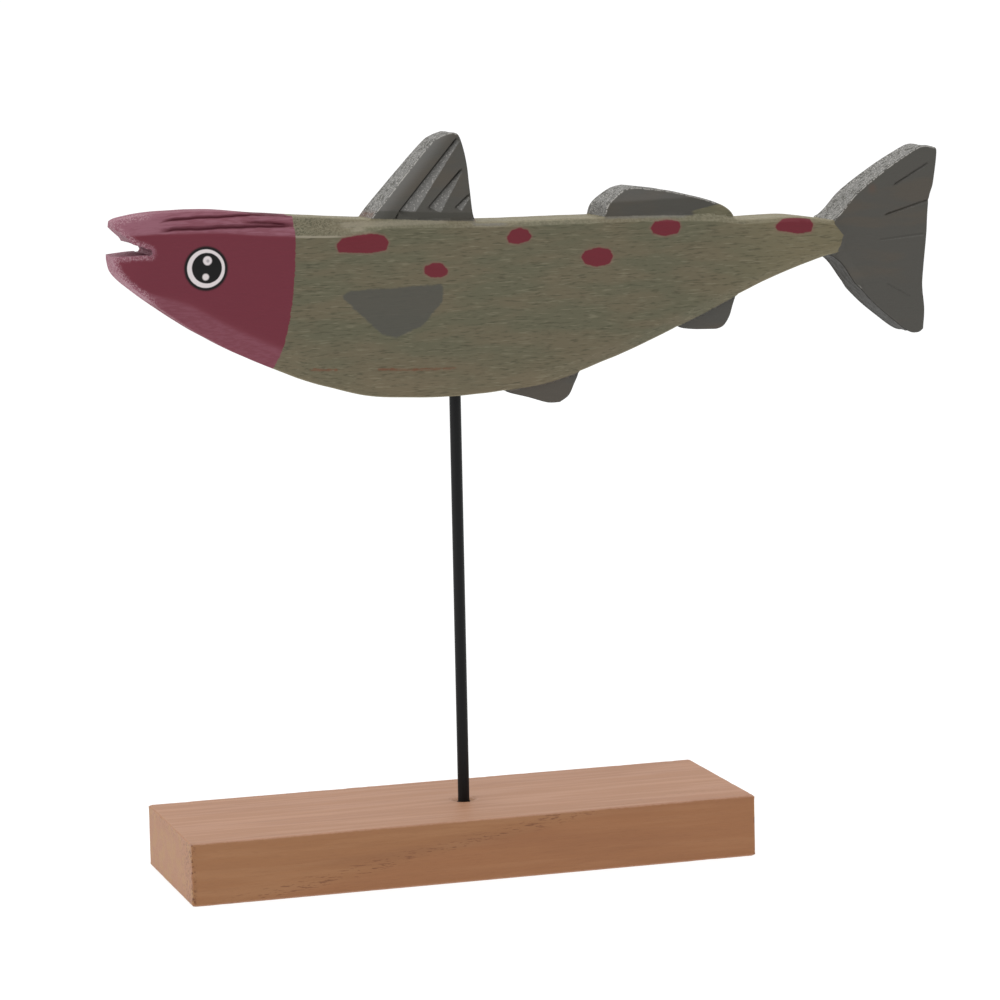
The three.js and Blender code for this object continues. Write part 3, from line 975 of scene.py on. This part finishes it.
class FishPaint(Finish):
    """Thin matt wash on carved wood: olive body, maroon head, grey fins, red spots and an eye."""

    def __init__(self, colours):
        super().__init__("fish_wash", colours)
        self.streaks = self.grain(5.5, 0.7, 2.5)
        self.flecks = self.grain(4.2, 0.55, 2, 31.7)
        self.pale = self.grain(6, 0.6, 2, 67.1)
        self.patches = self.grain(34, 8, 2, 12.3)
        self.mottle = self.lumps(0.5, 2, 4.1)
        self.speckle = self.lumps(1.15, 3)
        self.grit = self.lumps(1.9, 2, 8.8)
        self.brush = self.lumps(0.7, 2, 2.2) - 0.5
        self.sawn = self.ramp(self.mark("sawn"), 0.2, 0.6)
        self.rim = self.mark("rim")
        self.slope = self.mark("slope")
        self.cut = self.mark("cut")
        self.upward = self.mark("upward")
        self.fin = self.mark("fin")

    def strip(self, line, half_width, soft=0.5):
        """1 on a short painted stroke, fading at its sides and ends."""
        along, across, reach = beside(line, self.x, self.z)
        away = across.at_least(across * -1) + self.brush * 0.8
        inside = self.ramp(along, -1.5, 1.5) * self.ramp(along, reach + 1.5, reach - 1.5)
        return self.ramp(away, half_width + soft, half_width - soft) * inside * (1 - self.sawn)

    def body(self):
        c, x, z = self.tones, self.x, self.z
        tone = self.mix(c("body_green"), c("body_brown"), self.ramp(self.patches, 0.4, 0.62))
        tone = self.mix(tone, c("body"), 0.55)
        tone = self.mix(tone, c("body_brown"), self.ramp(z, 184, 167) * 0.45)
        tone = self.mix(tone, c("stem"), self.ramp(x, 84, 128) * 0.6)
        tone = self.mix(tone, c("body_dark"), self.ramp(self.flecks, 0.52, 0.7) * 0.6)
        tone = self.mix(tone, c("body_pale"), self.ramp(self.pale, 0.54, 0.72) * 0.38)
        # Painted light: the back's upward-facing shoulder is lightened, with speckles in it.
        shoulder = self.ramp(self.slope, 0.03, 0.14)
        tone = self.mix(tone, c("body_pale"), shoulder * (0.16 + self.ramp(self.speckle, 0.42, 0.62) * 0.3))
        rough = shoulder * self.ramp(x, -34, -42) * self.ramp(self.grit, 0.5, 0.62)
        tone = self.mix(tone, c("body_dark"), rough * 0.7)
        # Painted highlight: a thin pale line along the ridge of the back, behind the head.
        ridge = self.ramp(self.slope, 0.005, 0.05) * self.ramp(self.slope, 0.15, 0.08) * self.ramp(x, -33, -41)
        tone = self.mix(tone, c("body_chalk"), ridge * 0.75)
        for line, half_width, amount in PALE_STROKES:
            tone = self.mix(tone, c("body_chalk"), self.strip(line, half_width) * amount)
        for line, half_width, amount in GREY_STROKES:
            tone = self.mix(tone, c("fins_pale_and_highlight"), self.strip(line, half_width) * amount)
        edge = self.sawn * (0.3 + self.ramp(self.speckle, 0.45, 0.6) * 0.4) + self.ramp(self.rim, 0.8, 0.1) * 0.25
        tone = self.mix(tone, c("body_pale"), edge.at_most(1))
        bare = self.ramp(self.mark("bare") + self.brush * 0.9, 0.6, 0.2)
        return self.mix(tone, c("bare_wood"), bare * (0.35 + self.ramp(self.streaks, 0.4, 0.55) * 0.5))

    def head(self):
        c, x, z = self.tones, self.x, self.z
        # Painted highlight on the head: its upper and lower facets, the snout and its rim, the upward part of its sawn
        # edges and the mouth's walls are lightened, with streaks in it.
        snout = self.ramp(x, -93, -99)
        thin = self.ramp(self.slope, 0.02, 0.16) * (0.5 + self.ramp(self.streaks, 0.4, 0.6) * 0.4 + snout * 0.35)
        keel = self.ramp(self.slope, -0.02, -0.3) * (0.3 + self.ramp(self.streaks, 0.42, 0.6) * 0.15)
        tip = self.ramp(self.rim + self.brush * 1.5, 2.2, 0.6) * self.ramp(x, -98, -104)
        mouth = self.sawn * self.ramp(x, -99, -101) * self.ramp(z, 226, 223)
        edge = self.sawn * (0.35 + self.upward * 0.45)
        thin = thin.at_least(keel).at_least(edge).at_least(tip * 0.6).at_least(mouth) * (1 - self.cut)
        tone = self.mix(c("head"), c("head_highlight"), thin.at_most(1))
        tone = self.mix(tone, c("head_chalk"), tip * self.ramp(self.grit, 0.46, 0.6) * 0.6)
        # Painted shade in the knife lines, with paint pooled there too.
        tone = self.mix(tone, c("head_shade_and_pooled_paint"), self.cut * self.ramp(x, -50, -54) * 0.85)
        # The drilled curl is painted dark as painted shade, with a painted highlight in a ring round it.
        curl = self.disc(CURL, 0, 0, 0.95, 0.25)
        tone = self.mix(tone, c("head_highlight"), self.disc(CURL, 0.3, 0, 1.7, 0.25) * (1 - self.sawn) * 0.8)
        tone = self.mix(tone, c("head_shade_and_pooled_paint"), curl)
        return self.tint(tone, 0.95 + self.streaks * 0.1)

    def head_side(self):
        """1 on the head's side of the painted line."""
        u = HEAD_EDGE["z"] - self.z
        edge = self.x + u * HEAD_EDGE["lean"] + u * u * u * HEAD_EDGE["curve"]
        edge = edge + self.brush * 0.9 + (self.streaks - 0.5) * 0.6
        return self.ramp(edge, HEAD_EDGE["x"] + 0.2, HEAD_EDGE["x"] - 0.2)

    def fins(self):
        c, x, z = self.tones, self.x, self.z
        first = self.ramp(x, 13, 12) * self.ramp(x, -32, -31) * self.ramp(z, 215, 216)
        second = self.ramp(x, 50, 51) * self.ramp(x, 112, 111) * self.ramp(z, 215, 216)
        tone = self.mix(c("fins"), c("fins_brown"), self.ramp(self.patches, 0.46, 0.62) * 0.5)
        _, across, _ = beside(FIN_CUTS[0]["line"], x, z)
        # Painted light: the first dorsal's panel before its first cut is lightened.
        panel = self.ramp(across * -1, 0.8, 6.5) * first
        tone = self.mix(tone, c("fins_pale_and_highlight"), panel * 0.75)
        # Painted light on the second dorsal's upper band, painted shade on the rest of it.
        upper = second * self.ramp(z - x * 0.02, 225, 226.2)
        tone = self.mix(tone, c("fins_pale_and_highlight"), upper * 0.22)
        tone = self.mix(tone, c("fins_shade_and_mottle"), second * (1 - upper) * 0.3)
        # Painted shade: a dark band along the first dorsal's foot, where it meets the body.
        foot = first * self.ramp(self.fin + self.brush * 0.4, 3.1, 2.5)
        for cut in FIN_CUTS:
            tone = self.cut_paint(tone, cut, foot)
        tone = self.mix(tone, c("fins_shade_and_mottle"), foot * 0.55)
        # Upward-facing sawn edges: pale grey, partly dust on the rough edge and partly painted highlight, with dark
        # mottle and bare flecks.
        edge = self.sawn * self.upward
        tone = self.mix(tone, c("fins_pale_and_highlight"), edge * 0.9)
        tone = self.mix(tone, c("fins_shade_and_mottle"), edge * self.ramp(self.mottle, 0.5, 0.6) * 0.75)
        tone = self.mix(tone, c("fin_flecks"), edge * self.ramp(self.grit, 0.54, 0.62) * 0.75)
        # Pale flecks on upward-facing arrises: worn paint, and painted highlight too.
        arris = self.ramp(self.rim, 0.9, 0.3) * (1 - self.sawn) * self.ramp(self.upward, 0.15, 0.4)
        tone = self.mix(tone, c("fin_flecks"), arris * self.ramp(self.speckle, 0.42, 0.52) * 0.8)
        # Painted shade on downward-facing sawn edges, in the chisel scoop and in the tail's small hole.
        under = self.sawn * self.ramp(self.upward, 0.25, 0)
        tone = self.mix(tone, c("fins_painted_shade"), under * 0.85)
        scoop = self.strip([(140.5, 204.5), (146, 198)], 1.3, 0.8)
        tone = self.mix(tone, c("fins_painted_shade"), scoop * 0.6)
        tone = self.mix(tone, c("fins_painted_shade"), self.disc(TAIL_HOLE, 0, 0, 0.7, 0.25) * (1 - self.sawn))
        tone = self.mix(tone, c("bare_wood"), self.disc(TAIL_SMUDGE, 0, 0, 1.2, 1.4) * 0.25)
        foot_wood = first * self.sawn * self.ramp(self.fin, 3, 1)
        tone = self.mix(tone, c("bare_wood"), foot_wood * self.ramp(self.speckle, 0.4, 0.55) * 0.6)
        return self.tint(tone, 0.95 + self.streaks * 0.1)

    def cut_paint(self, tone, cut, foot):
        """Paints a V cut's sloping side lighter, as painted light, and its deep line dark, as painted shade."""
        c = self.tones
        along, across, reach = beside(cut["line"], self.x, self.z)
        across = across + self.brush * 0.25
        start, end = cut["width"]
        width = start + along * ((end - start) / reach)
        ends = self.ramp(along, 0, 1.2) * self.ramp(along, reach + 0.3, reach - 0.8) * (1 - self.sawn)
        slope = self.ramp(across, 0.15, 0.5) * self.ramp(width - across, -0.15, 0.3)
        slope = slope * self.ramp(along - across * 0.3, 0.1, 0.6) * ends * (1 - foot)
        tone = self.mix(tone, c("fins_pale_and_highlight"), slope * cut["pale"])
        tone = self.mix(tone, c("fin_flecks"), slope * self.ramp(self.grit, 0.55, 0.64) * cut["pale"] * 0.5)
        deep = self.ramp((across + 0.15).at_least(across * -1 - 0.15), 0.55, 0.1) * ends
        return self.mix(tone, c("fins_painted_shade"), deep * cut["dark"])

    def disc(self, centre, dx, dz, radius, soft=0.12):
        """1 inside a painted circle on the side."""
        x, z = self.x - (centre[0] + dx), self.z - (centre[1] + dz)
        away = (x * x + z * z) ** 0.5 + self.brush * 0.15
        return self.ramp(away, radius + soft, radius - soft)

    def eye(self, tone):
        c = self.tones
        tone = self.mix(tone, c("eye_black"), self.disc(EYE, 0, 0, 7.4, 0.45))
        tone = self.mix(tone, c("eye_white"), self.disc(EYE, 0, 0, 6.4, 0.18))
        tone = self.mix(tone, c("eye_black"), self.disc(EYE, 0.3, 0.13, 5.1, 0.18))
        tone = self.mix(tone, c("eye_white"), self.disc(EYE, 0.56, 2.6, 1.5, 0.25))
        tone = self.mix(tone, c("eye_grey"), self.disc(EYE, 0.7, 2.5, 0.5, 0.35) * 0.6)
        return self.mix(tone, c("eye_white"), self.disc(EYE, -0.2, -2.8, 1.1, 0.3))

    def finish(self):
        c = self.tones
        tone = self.mix(self.body(), self.head(), self.head_side())
        spot = self.mark("spot") + self.brush * 0.6
        side = 1 - self.sawn
        tone = self.mix(tone, c("spot_rim"), self.ramp(spot, 0.9, 0.3) * side * 0.3)
        tone = self.mix(tone, self.tint(c("spots"), 0.92 + self.streaks * 0.16), self.ramp(spot, 0.25, -0.25) * side)
        painted = self.ramp(self.fin + self.brush * 0.5, -0.1, 0.25)
        _, across, _ = beside(DORSAL_END, self.x, self.z)
        bare_end = self.ramp(self.x, 88, 90) * self.ramp(self.x, 112, 110) * self.ramp(across, -0.2, 0.3)
        painted = painted * (1 - bare_end * self.ramp(self.z, 217, 218))
        tone = self.mix(tone, self.fins(), painted)
        side_fin = self.mark("side_fin") + self.brush * 0.9 + (self.streaks - 0.5) * 0.8
        tone = self.mix(tone, c("side_fin"), self.ramp(side_fin, 0.45, -0.45) * side * 0.88)
        tone = self.eye(tone)
        eye = self.disc(EYE, 0, 0, 7.4)
        rough = self.streaks * 0.5 + self.flecks * 0.35 + self.grit * 0.08 + self.speckle * self.sawn * 0.7
        return self.surface(
            Base_Color=tone,
            Roughness=0.62 + (self.streaks - 0.5) * 0.2 - eye * 0.15,
            Normal=self.bump(rough * (1 - eye * 0.8), 0.15 * MM),
            Specular_IOR_Level=0.25,
        )


def finish_wood(colours):
    """Bare hardwood: a climbing band of dark flecks, long soft streaks, a rough sawn end."""
    f = Finish("bare_hardwood", colours)
    c, x, y, z = f.tones, f.x, f.y, f.z
    wander = f.grain(60, 16, 2, 5.5) - 0.5
    lay = z - (x + 90) * 0.165 + (y + 33) * 0.5 + wander * 7
    figure = f.grain(52, 3, 3, 9.1)
    broad = f.grain(90, 9, 2, 14.4)
    fine = f.grain(16, 0.7, 3)
    dashes = f.grain(3, 0.42, 2, 21.7)
    specks = f.lumps(0.9, 3)
    lumps = f.lumps(0.22, 2, 3.3)

    tone = f.mix(c("wood"), c("wood_pale"), f.ramp(figure, 0.46, 0.68) * 0.45)
    tone = f.mix(tone, c("wood_dark"), f.ramp(broad, 0.5, 0.32) * 0.35)
    tone = f.mix(tone, c("wood_red"), f.ramp(lay, 0.5, -4) * 0.3)
    band = f.ramp(lay.at_least(lay * -1), 3.2, 0.6)
    tone = f.mix(tone, c("pores"), f.ramp(dashes, 0.55, 0.66) * (band * 0.6 + 0.07))
    # Painted sheen: the top face is lightened all over, with dust in it; the worn edges below use the same colour.
    top = f.ramp(z, 20.95, 21.3)
    tone = f.mix(tone, c("wood_dust_and_sheen"), top * (0.35 + f.ramp(figure, 0.42, 0.62) * 0.2))

    end = f.ramp(x, -99.2, -99.7) + f.ramp(x, 99.2, 99.7)
    sawn = f.mix(c("end_grain"), c("end_yellow"), f.ramp(lumps, 0.45, 0.6) * 0.6)
    pitted = f.ramp(y, -12, -30) * 0.55 + f.ramp(z, 16, 21) * 0.3 + 0.12
    sawn = f.mix(sawn, c("pores"), f.ramp(specks, 0.53, 0.62) * pitted)
    tone = f.mix(tone, sawn, end)

    corner = f.ramp(f.mark("ragged"), 0.25, 0.75)
    tone = f.mix(tone, c("pores"), corner * f.ramp(specks, 0.5, 0.58) * 0.7)
    worn = f.ramp(f.mark("worn"), 0.35, 0.85)
    tone = f.mix(tone, c("wood_dust_and_sheen"), worn * (0.3 + f.ramp(specks, 0.4, 0.55) * 0.5))
    hole = ((x - ROD_X) * (x - ROD_X) + y * y) ** 0.5
    ring = f.ramp(hole, 5.6, 4.9) * f.ramp(z, 19, 21)
    tone = f.mix(tone, c("wood_dust_and_sheen"), ring * f.ramp(specks, 0.45, 0.55) * 0.5)
    tone = f.tint(tone, 0.93 + fine * 0.14)
    relief = fine * 0.6 + dashes * 0.25 + specks * (end * 0.8 + corner * 0.8)
    return f.surface(Base_Color=tone, Roughness=0.5 + fine * 0.1, Normal=f.bump(relief, 0.16 * MM))


def finish_rod(colours):
    """Satin black paint with a faint drawn grain."""
    f = Finish("satin_black", colours)
    drawn = f.noise(f.point(f.x * 2.5, f.y * 2.5, f.z * 0.05), detail=3)
    mottle = f.lumps(0.8, 3)
    tone = f.tint(f.tones("rod"), 0.8 + mottle * 0.4)
    return f.surface(
        Base_Color=tone,
        Roughness=colours.rod_roughness + (mottle - 0.5) * 0.2,
        Normal=f.bump(drawn + mottle * 0.5, 0.03 * MM),
        Specular_IOR_Level=0.2,
    )


# Operators

class CarveFish(bpy.types.Operator):
    """Carve and paint the fish"""

    bl_idname = "carved_fish.carve_fish"
    bl_label = "Carve Fish"

    def execute(self, context):
        settings = context.scene.fish_carving
        form = FishForm(settings)
        plan = slab_plan(form.outline, form.creases(), form.spacing, form.arris, seed=11)
        saw = settings.saw_marks / MM

        edge = {}

        def roughen(points, height):
            spots = np.column_stack([points[:, 0], height, points[:, 1]])
            half = edge.setdefault("half", form.relief(points))
            keep = np.clip((half - np.abs(height)) / 1.5, 0, 1)
            return keep * saw * (ripple(spots, 2.3, 5.5) + 0.6 * ripple(spots, 0.9, 9.1) - 0.8)

        def place(points, height):
            return np.column_stack([points[:, 0], -height, points[:, 1]])

        mesh = build_slab("carved_fish", plan, form.heights, 15, roughen, place)
        hole = 2 + settings.hole_play / MM
        top = rod_high.z / MM + settings.hole_play / MM
        mesh = drill(mesh, hole, 150, top, ROD_X)
        lay_out_marks(mesh, form)
        shade(mesh, 32)
        mesh.materials.append(FishPaint(context.scene.fish_colours).finish())
        add_piece("carved_fish", mesh, "fish")
        return {"FINISHED"}


class MakeRod(bpy.types.Operator):
    """Make the steel rod"""

    bl_idname = "carved_fish.make_rod"
    bl_label = "Make Rod"

    def execute(self, context):
        radius = (rod_high.x - rod_low.x) / 2 / MM
        foot, top, arris = rod_low.z / MM, rod_high.z / MM, 0.4
        heights = [(foot, 1 - arris / radius), (foot + 0.12, 1 - 0.3 * arris / radius), (foot + arris, 1)]
        heights += [(foot + arris + (top - foot - 2 * arris) * i / 40, 1) for i in range(1, 41)]
        heights += [(top - 0.12, 1 - 0.3 * arris / radius), (top, 1 - arris / radius)]
        points, faces = post_rings(radius, heights, 48, ROD_X)
        mesh = bpy.data.meshes.new("steel_rod")
        mesh.from_pydata((points * MM).tolist(), [], faces)
        shade(mesh, 40)
        mesh.materials.append(finish_rod(context.scene.fish_stand))
        add_piece("steel_rod", mesh, "rod")
        return {"FINISHED"}


class MakeBlock(bpy.types.Operator):
    """Make the wooden block with the rod's hole"""

    bl_idname = "carved_fish.make_block"
    bl_label = "Make Block"

    def execute(self, context):
        settings = context.scene.fish_carving
        arris = settings.block_arris / MM
        spacing = settings.block_grid / MM
        (x0, y0, _), (x1, y1, top) = block_low / MM, block_high / MM
        corners = np.array([(x0, y0), (x1, y0), (x1, y1), (x0, y1), (x0, y0)]) * (1 - 0.0005)
        loop = spaced_line(corners, spacing)[:-1]
        flat = np.column_stack([loop, np.zeros(len(loop))])
        inward = 0.07 + 0.06 * ripple(flat, 9, 2.2)
        loop = loop - np.sign(loop) * np.isclose(np.abs(loop), np.abs(corners[0]), atol=0.01) * inward[:, None]
        rim = settings.rim_radius / MM
        turn = np.linspace(0, 2 * math.pi, 49)
        circle = np.column_stack([np.cos(turn), np.sin(turn)])
        rings = [circle * radius + (ROD_X, 0) for radius in (2.1, rim * 0.62, rim * 0.8, rim, rim + 0.3)]
        plan = slab_plan(loop, rings, spacing, arris, seed=5)

        def heights(points):
            near = distance(points, loop)
            inward = np.clip(1 - near / arris, 0, 1)
            edge = arris * (1 - np.sqrt(1 - inward ** 2))
            flat = np.column_stack([points, np.zeros(len(points))])
            chips = np.clip(ripple(flat, 3.2, 7.7) - 0.2, 0, 1) * np.clip(1 - near / 0.9, 0, 1)
            away = np.hypot(points[:, 0] - ROD_X, points[:, 1]) + 0.25 * ripple(flat, 2.1, 6.6)
            dimple = settings.rim_depth / MM * np.clip((rim - away) / (rim * 0.55), 0, 1) ** 0.8
            wave = 0.05 * ripple(flat, 14, 4.4)
            upper = top - edge - 0.5 * chips - dimple + wave - 0.06
            lower = edge + 0.3 * chips
            return upper, lower

        def roughen(points, height):
            spots = np.column_stack([points, height])
            corner = np.clip(1 - np.hypot(points[:, 0] - x0, points[:, 1] - y0) / 2.2, 0, 1)
            teeth = corner * np.clip(ripple(spots / (1, 1, 0.8), 1.3, 3.3) + 0.1, 0, 1) * 1.5
            return 0.06 * ripple(spots, 6, 8.8) - 0.09 - teeth

        def place(points, height):
            return np.column_stack([points, height])

        mesh = build_slab("wood_block", plan, heights, 18, roughen, place)
        hole = 2 + settings.hole_play / MM
        mesh = drill(mesh, hole, rod_low.z / MM - settings.hole_play / MM, top + 2, ROD_X)
        spots = mesh_points(mesh)
        side = distance(spots[:, :2], loop)
        corner = 1 - np.hypot(spots[:, 0] - x0, spots[:, 1] - y0) / 3
        mark(mesh, "ragged", np.clip(corner, 0, 1))
        level = np.minimum(spots[:, 2], top - spots[:, 2])
        mark(mesh, "worn", np.clip(1 - np.maximum(side, level) / 1.2, 0, 1))
        shade(mesh, 34)
        mesh.materials.append(finish_wood(context.scene.fish_stand))
        add_piece("wood_block", mesh, "base")
        return {"FINISHED"}


class SetStage(bpy.types.Operator):
    """Set up the floor, lights, surroundings and camera"""

    bl_idname = "carved_fish.set_stage"
    bl_label = "Set Stage"

    def execute(self, context):
        stage = context.scene.fish_stage
        self.lay_floor(stage)
        self.light("top_light", stage.top_light, 1.6, (0.05, 0.1, 1.5), (0, 0, 0.2))
        self.light("left_light", stage.side_light, 1.0, (-1.5, -0.5, 0.6), (0, 0, 0.2))
        self.surround(context.scene, stage)
        self.aim_camera(context.scene, stage)
        context.scene.view_settings.view_transform = "Standard"
        return {"FINISHED"}

    def lay_floor(self, stage):
        f = Finish("white_floor")
        tone = f.tint((0.2, 0.2, 0.2), 0.99 + f.noise(f.point(f.x, f.y, 0), scale=0.01) * 0.02)
        material = f.surface(
            Base_Color=tone, Roughness=0.9, Emission_Color=(1, 1, 1), Emission_Strength=stage.floor_glow
        )
        mesh = bpy.data.meshes.new("floor")
        half = 40
        corners = [(-half, -half, 0), (half, -half, 0), (half, half, 0), (-half, half, 0)]
        mesh.from_pydata(corners, [], [(0, 1, 2, 3)])
        mesh.materials.append(material)
        floor = bpy.data.objects.new("floor", mesh)
        bpy.context.scene.collection.objects.link(floor)
        floor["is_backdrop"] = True

    def light(self, name, power, size, place, target):
        lamp = bpy.data.lights.new(name, "AREA")
        lamp.energy = power
        lamp.size = size
        holder = bpy.data.objects.new(name, lamp)
        holder.location = place
        holder.rotation_euler = (Vector(target) - Vector(place)).to_track_quat("-Z", "Y").to_euler()
        bpy.context.scene.collection.objects.link(holder)

    def surround(self, scene, stage):
        world = bpy.data.worlds.new("white_room")
        world.use_nodes = True
        tree = world.node_tree
        tree.nodes.clear()
        spot = tree.nodes.new("ShaderNodeTexCoord")
        parts = tree.nodes.new("ShaderNodeSeparateXYZ")
        fade = tree.nodes.new("ShaderNodeMapRange")
        sky = tree.nodes.new("ShaderNodeBackground")
        output = tree.nodes.new("ShaderNodeOutputWorld")
        fade.interpolation_type = "SMOOTHSTEP"
        fade.inputs["From Min"].default_value = -1
        fade.inputs["From Max"].default_value = -0.2
        fade.inputs["To Min"].default_value = stage.sky_front
        fade.inputs["To Max"].default_value = stage.sky
        tree.links.new(spot.outputs["Generated"], parts.inputs[0])
        tree.links.new(parts.outputs["Y"], fade.inputs["Value"])
        tree.links.new(fade.outputs[0], sky.inputs["Strength"])
        tree.links.new(sky.outputs[0], output.inputs["Surface"])
        scene.world = world

    def aim_camera(self, scene, stage):
        lens = bpy.data.cameras.new("camera")
        lens.lens = stage.lens
        lens.sensor_width = 36
        lens.clip_end = 100
        holder = bpy.data.objects.new("camera", lens)
        turn = Matrix.Rotation(-stage.yaw, 4, "Z") @ Matrix.Rotation(math.pi / 2 - stage.pitch, 4, "X")
        place = Matrix.Translation((stage.camera_x, stage.camera_y, stage.camera_z))
        holder.matrix_world = place @ turn @ Matrix.Rotation(stage.roll, 4, "Z")
        scene.collection.objects.link(holder)
        scene.camera = holder


class CarvedFishPanel(bpy.types.Panel):
    """Settings and steps of the carved fish"""

    bl_idname = "VIEW3D_PT_carved_fish"
    bl_label = "Carved Fish"
    bl_space_type = "VIEW_3D"
    bl_region_type = "UI"
    bl_category = "Carved Fish"

    def draw(self, context):
        for title, name, group, steps in SECTIONS:
            box = self.layout.box()
            box.label(text=title)
            for field in group.__annotations__:
                box.prop(getattr(context.scene, name), field)
            for step in steps:
                box.operator(step.bl_idname)


SECTIONS = (
    ("Carving", "fish_carving", CarvingSettings, (CarveFish,)),
    ("Paint", "fish_colours", PaintSettings, ()),
    ("Stand", "fish_stand", StandSettings, (MakeRod, MakeBlock)),
    ("Stage", "fish_stage", StageSettings, (SetStage,)),
)
CLASSES = (
    CarvingSettings, PaintSettings, StandSettings, StageSettings,
    CarveFish, MakeRod, MakeBlock, SetStage, CarvedFishPanel,
)


def register():
    for made in CLASSES:
        bpy.utils.register_class(made)
    for _, name, group, _ in SECTIONS:
        setattr(bpy.types.Scene, name, PointerProperty(type=group))


def unregister():
    for _, name, _, _ in SECTIONS:
        delattr(bpy.types.Scene, name)
    for made in reversed(CLASSES):
        bpy.utils.unregister_class(made)


def main():
    register()
    bpy.ops.carved_fish.set_stage()
    bpy.ops.carved_fish.make_block()
    bpy.ops.carved_fish.make_rod()
    bpy.ops.carved_fish.carve_fish()
    boxes = [[list(corner) for corner in box] for box in (cad_box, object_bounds())]


if __name__ == "__main__":
    main()
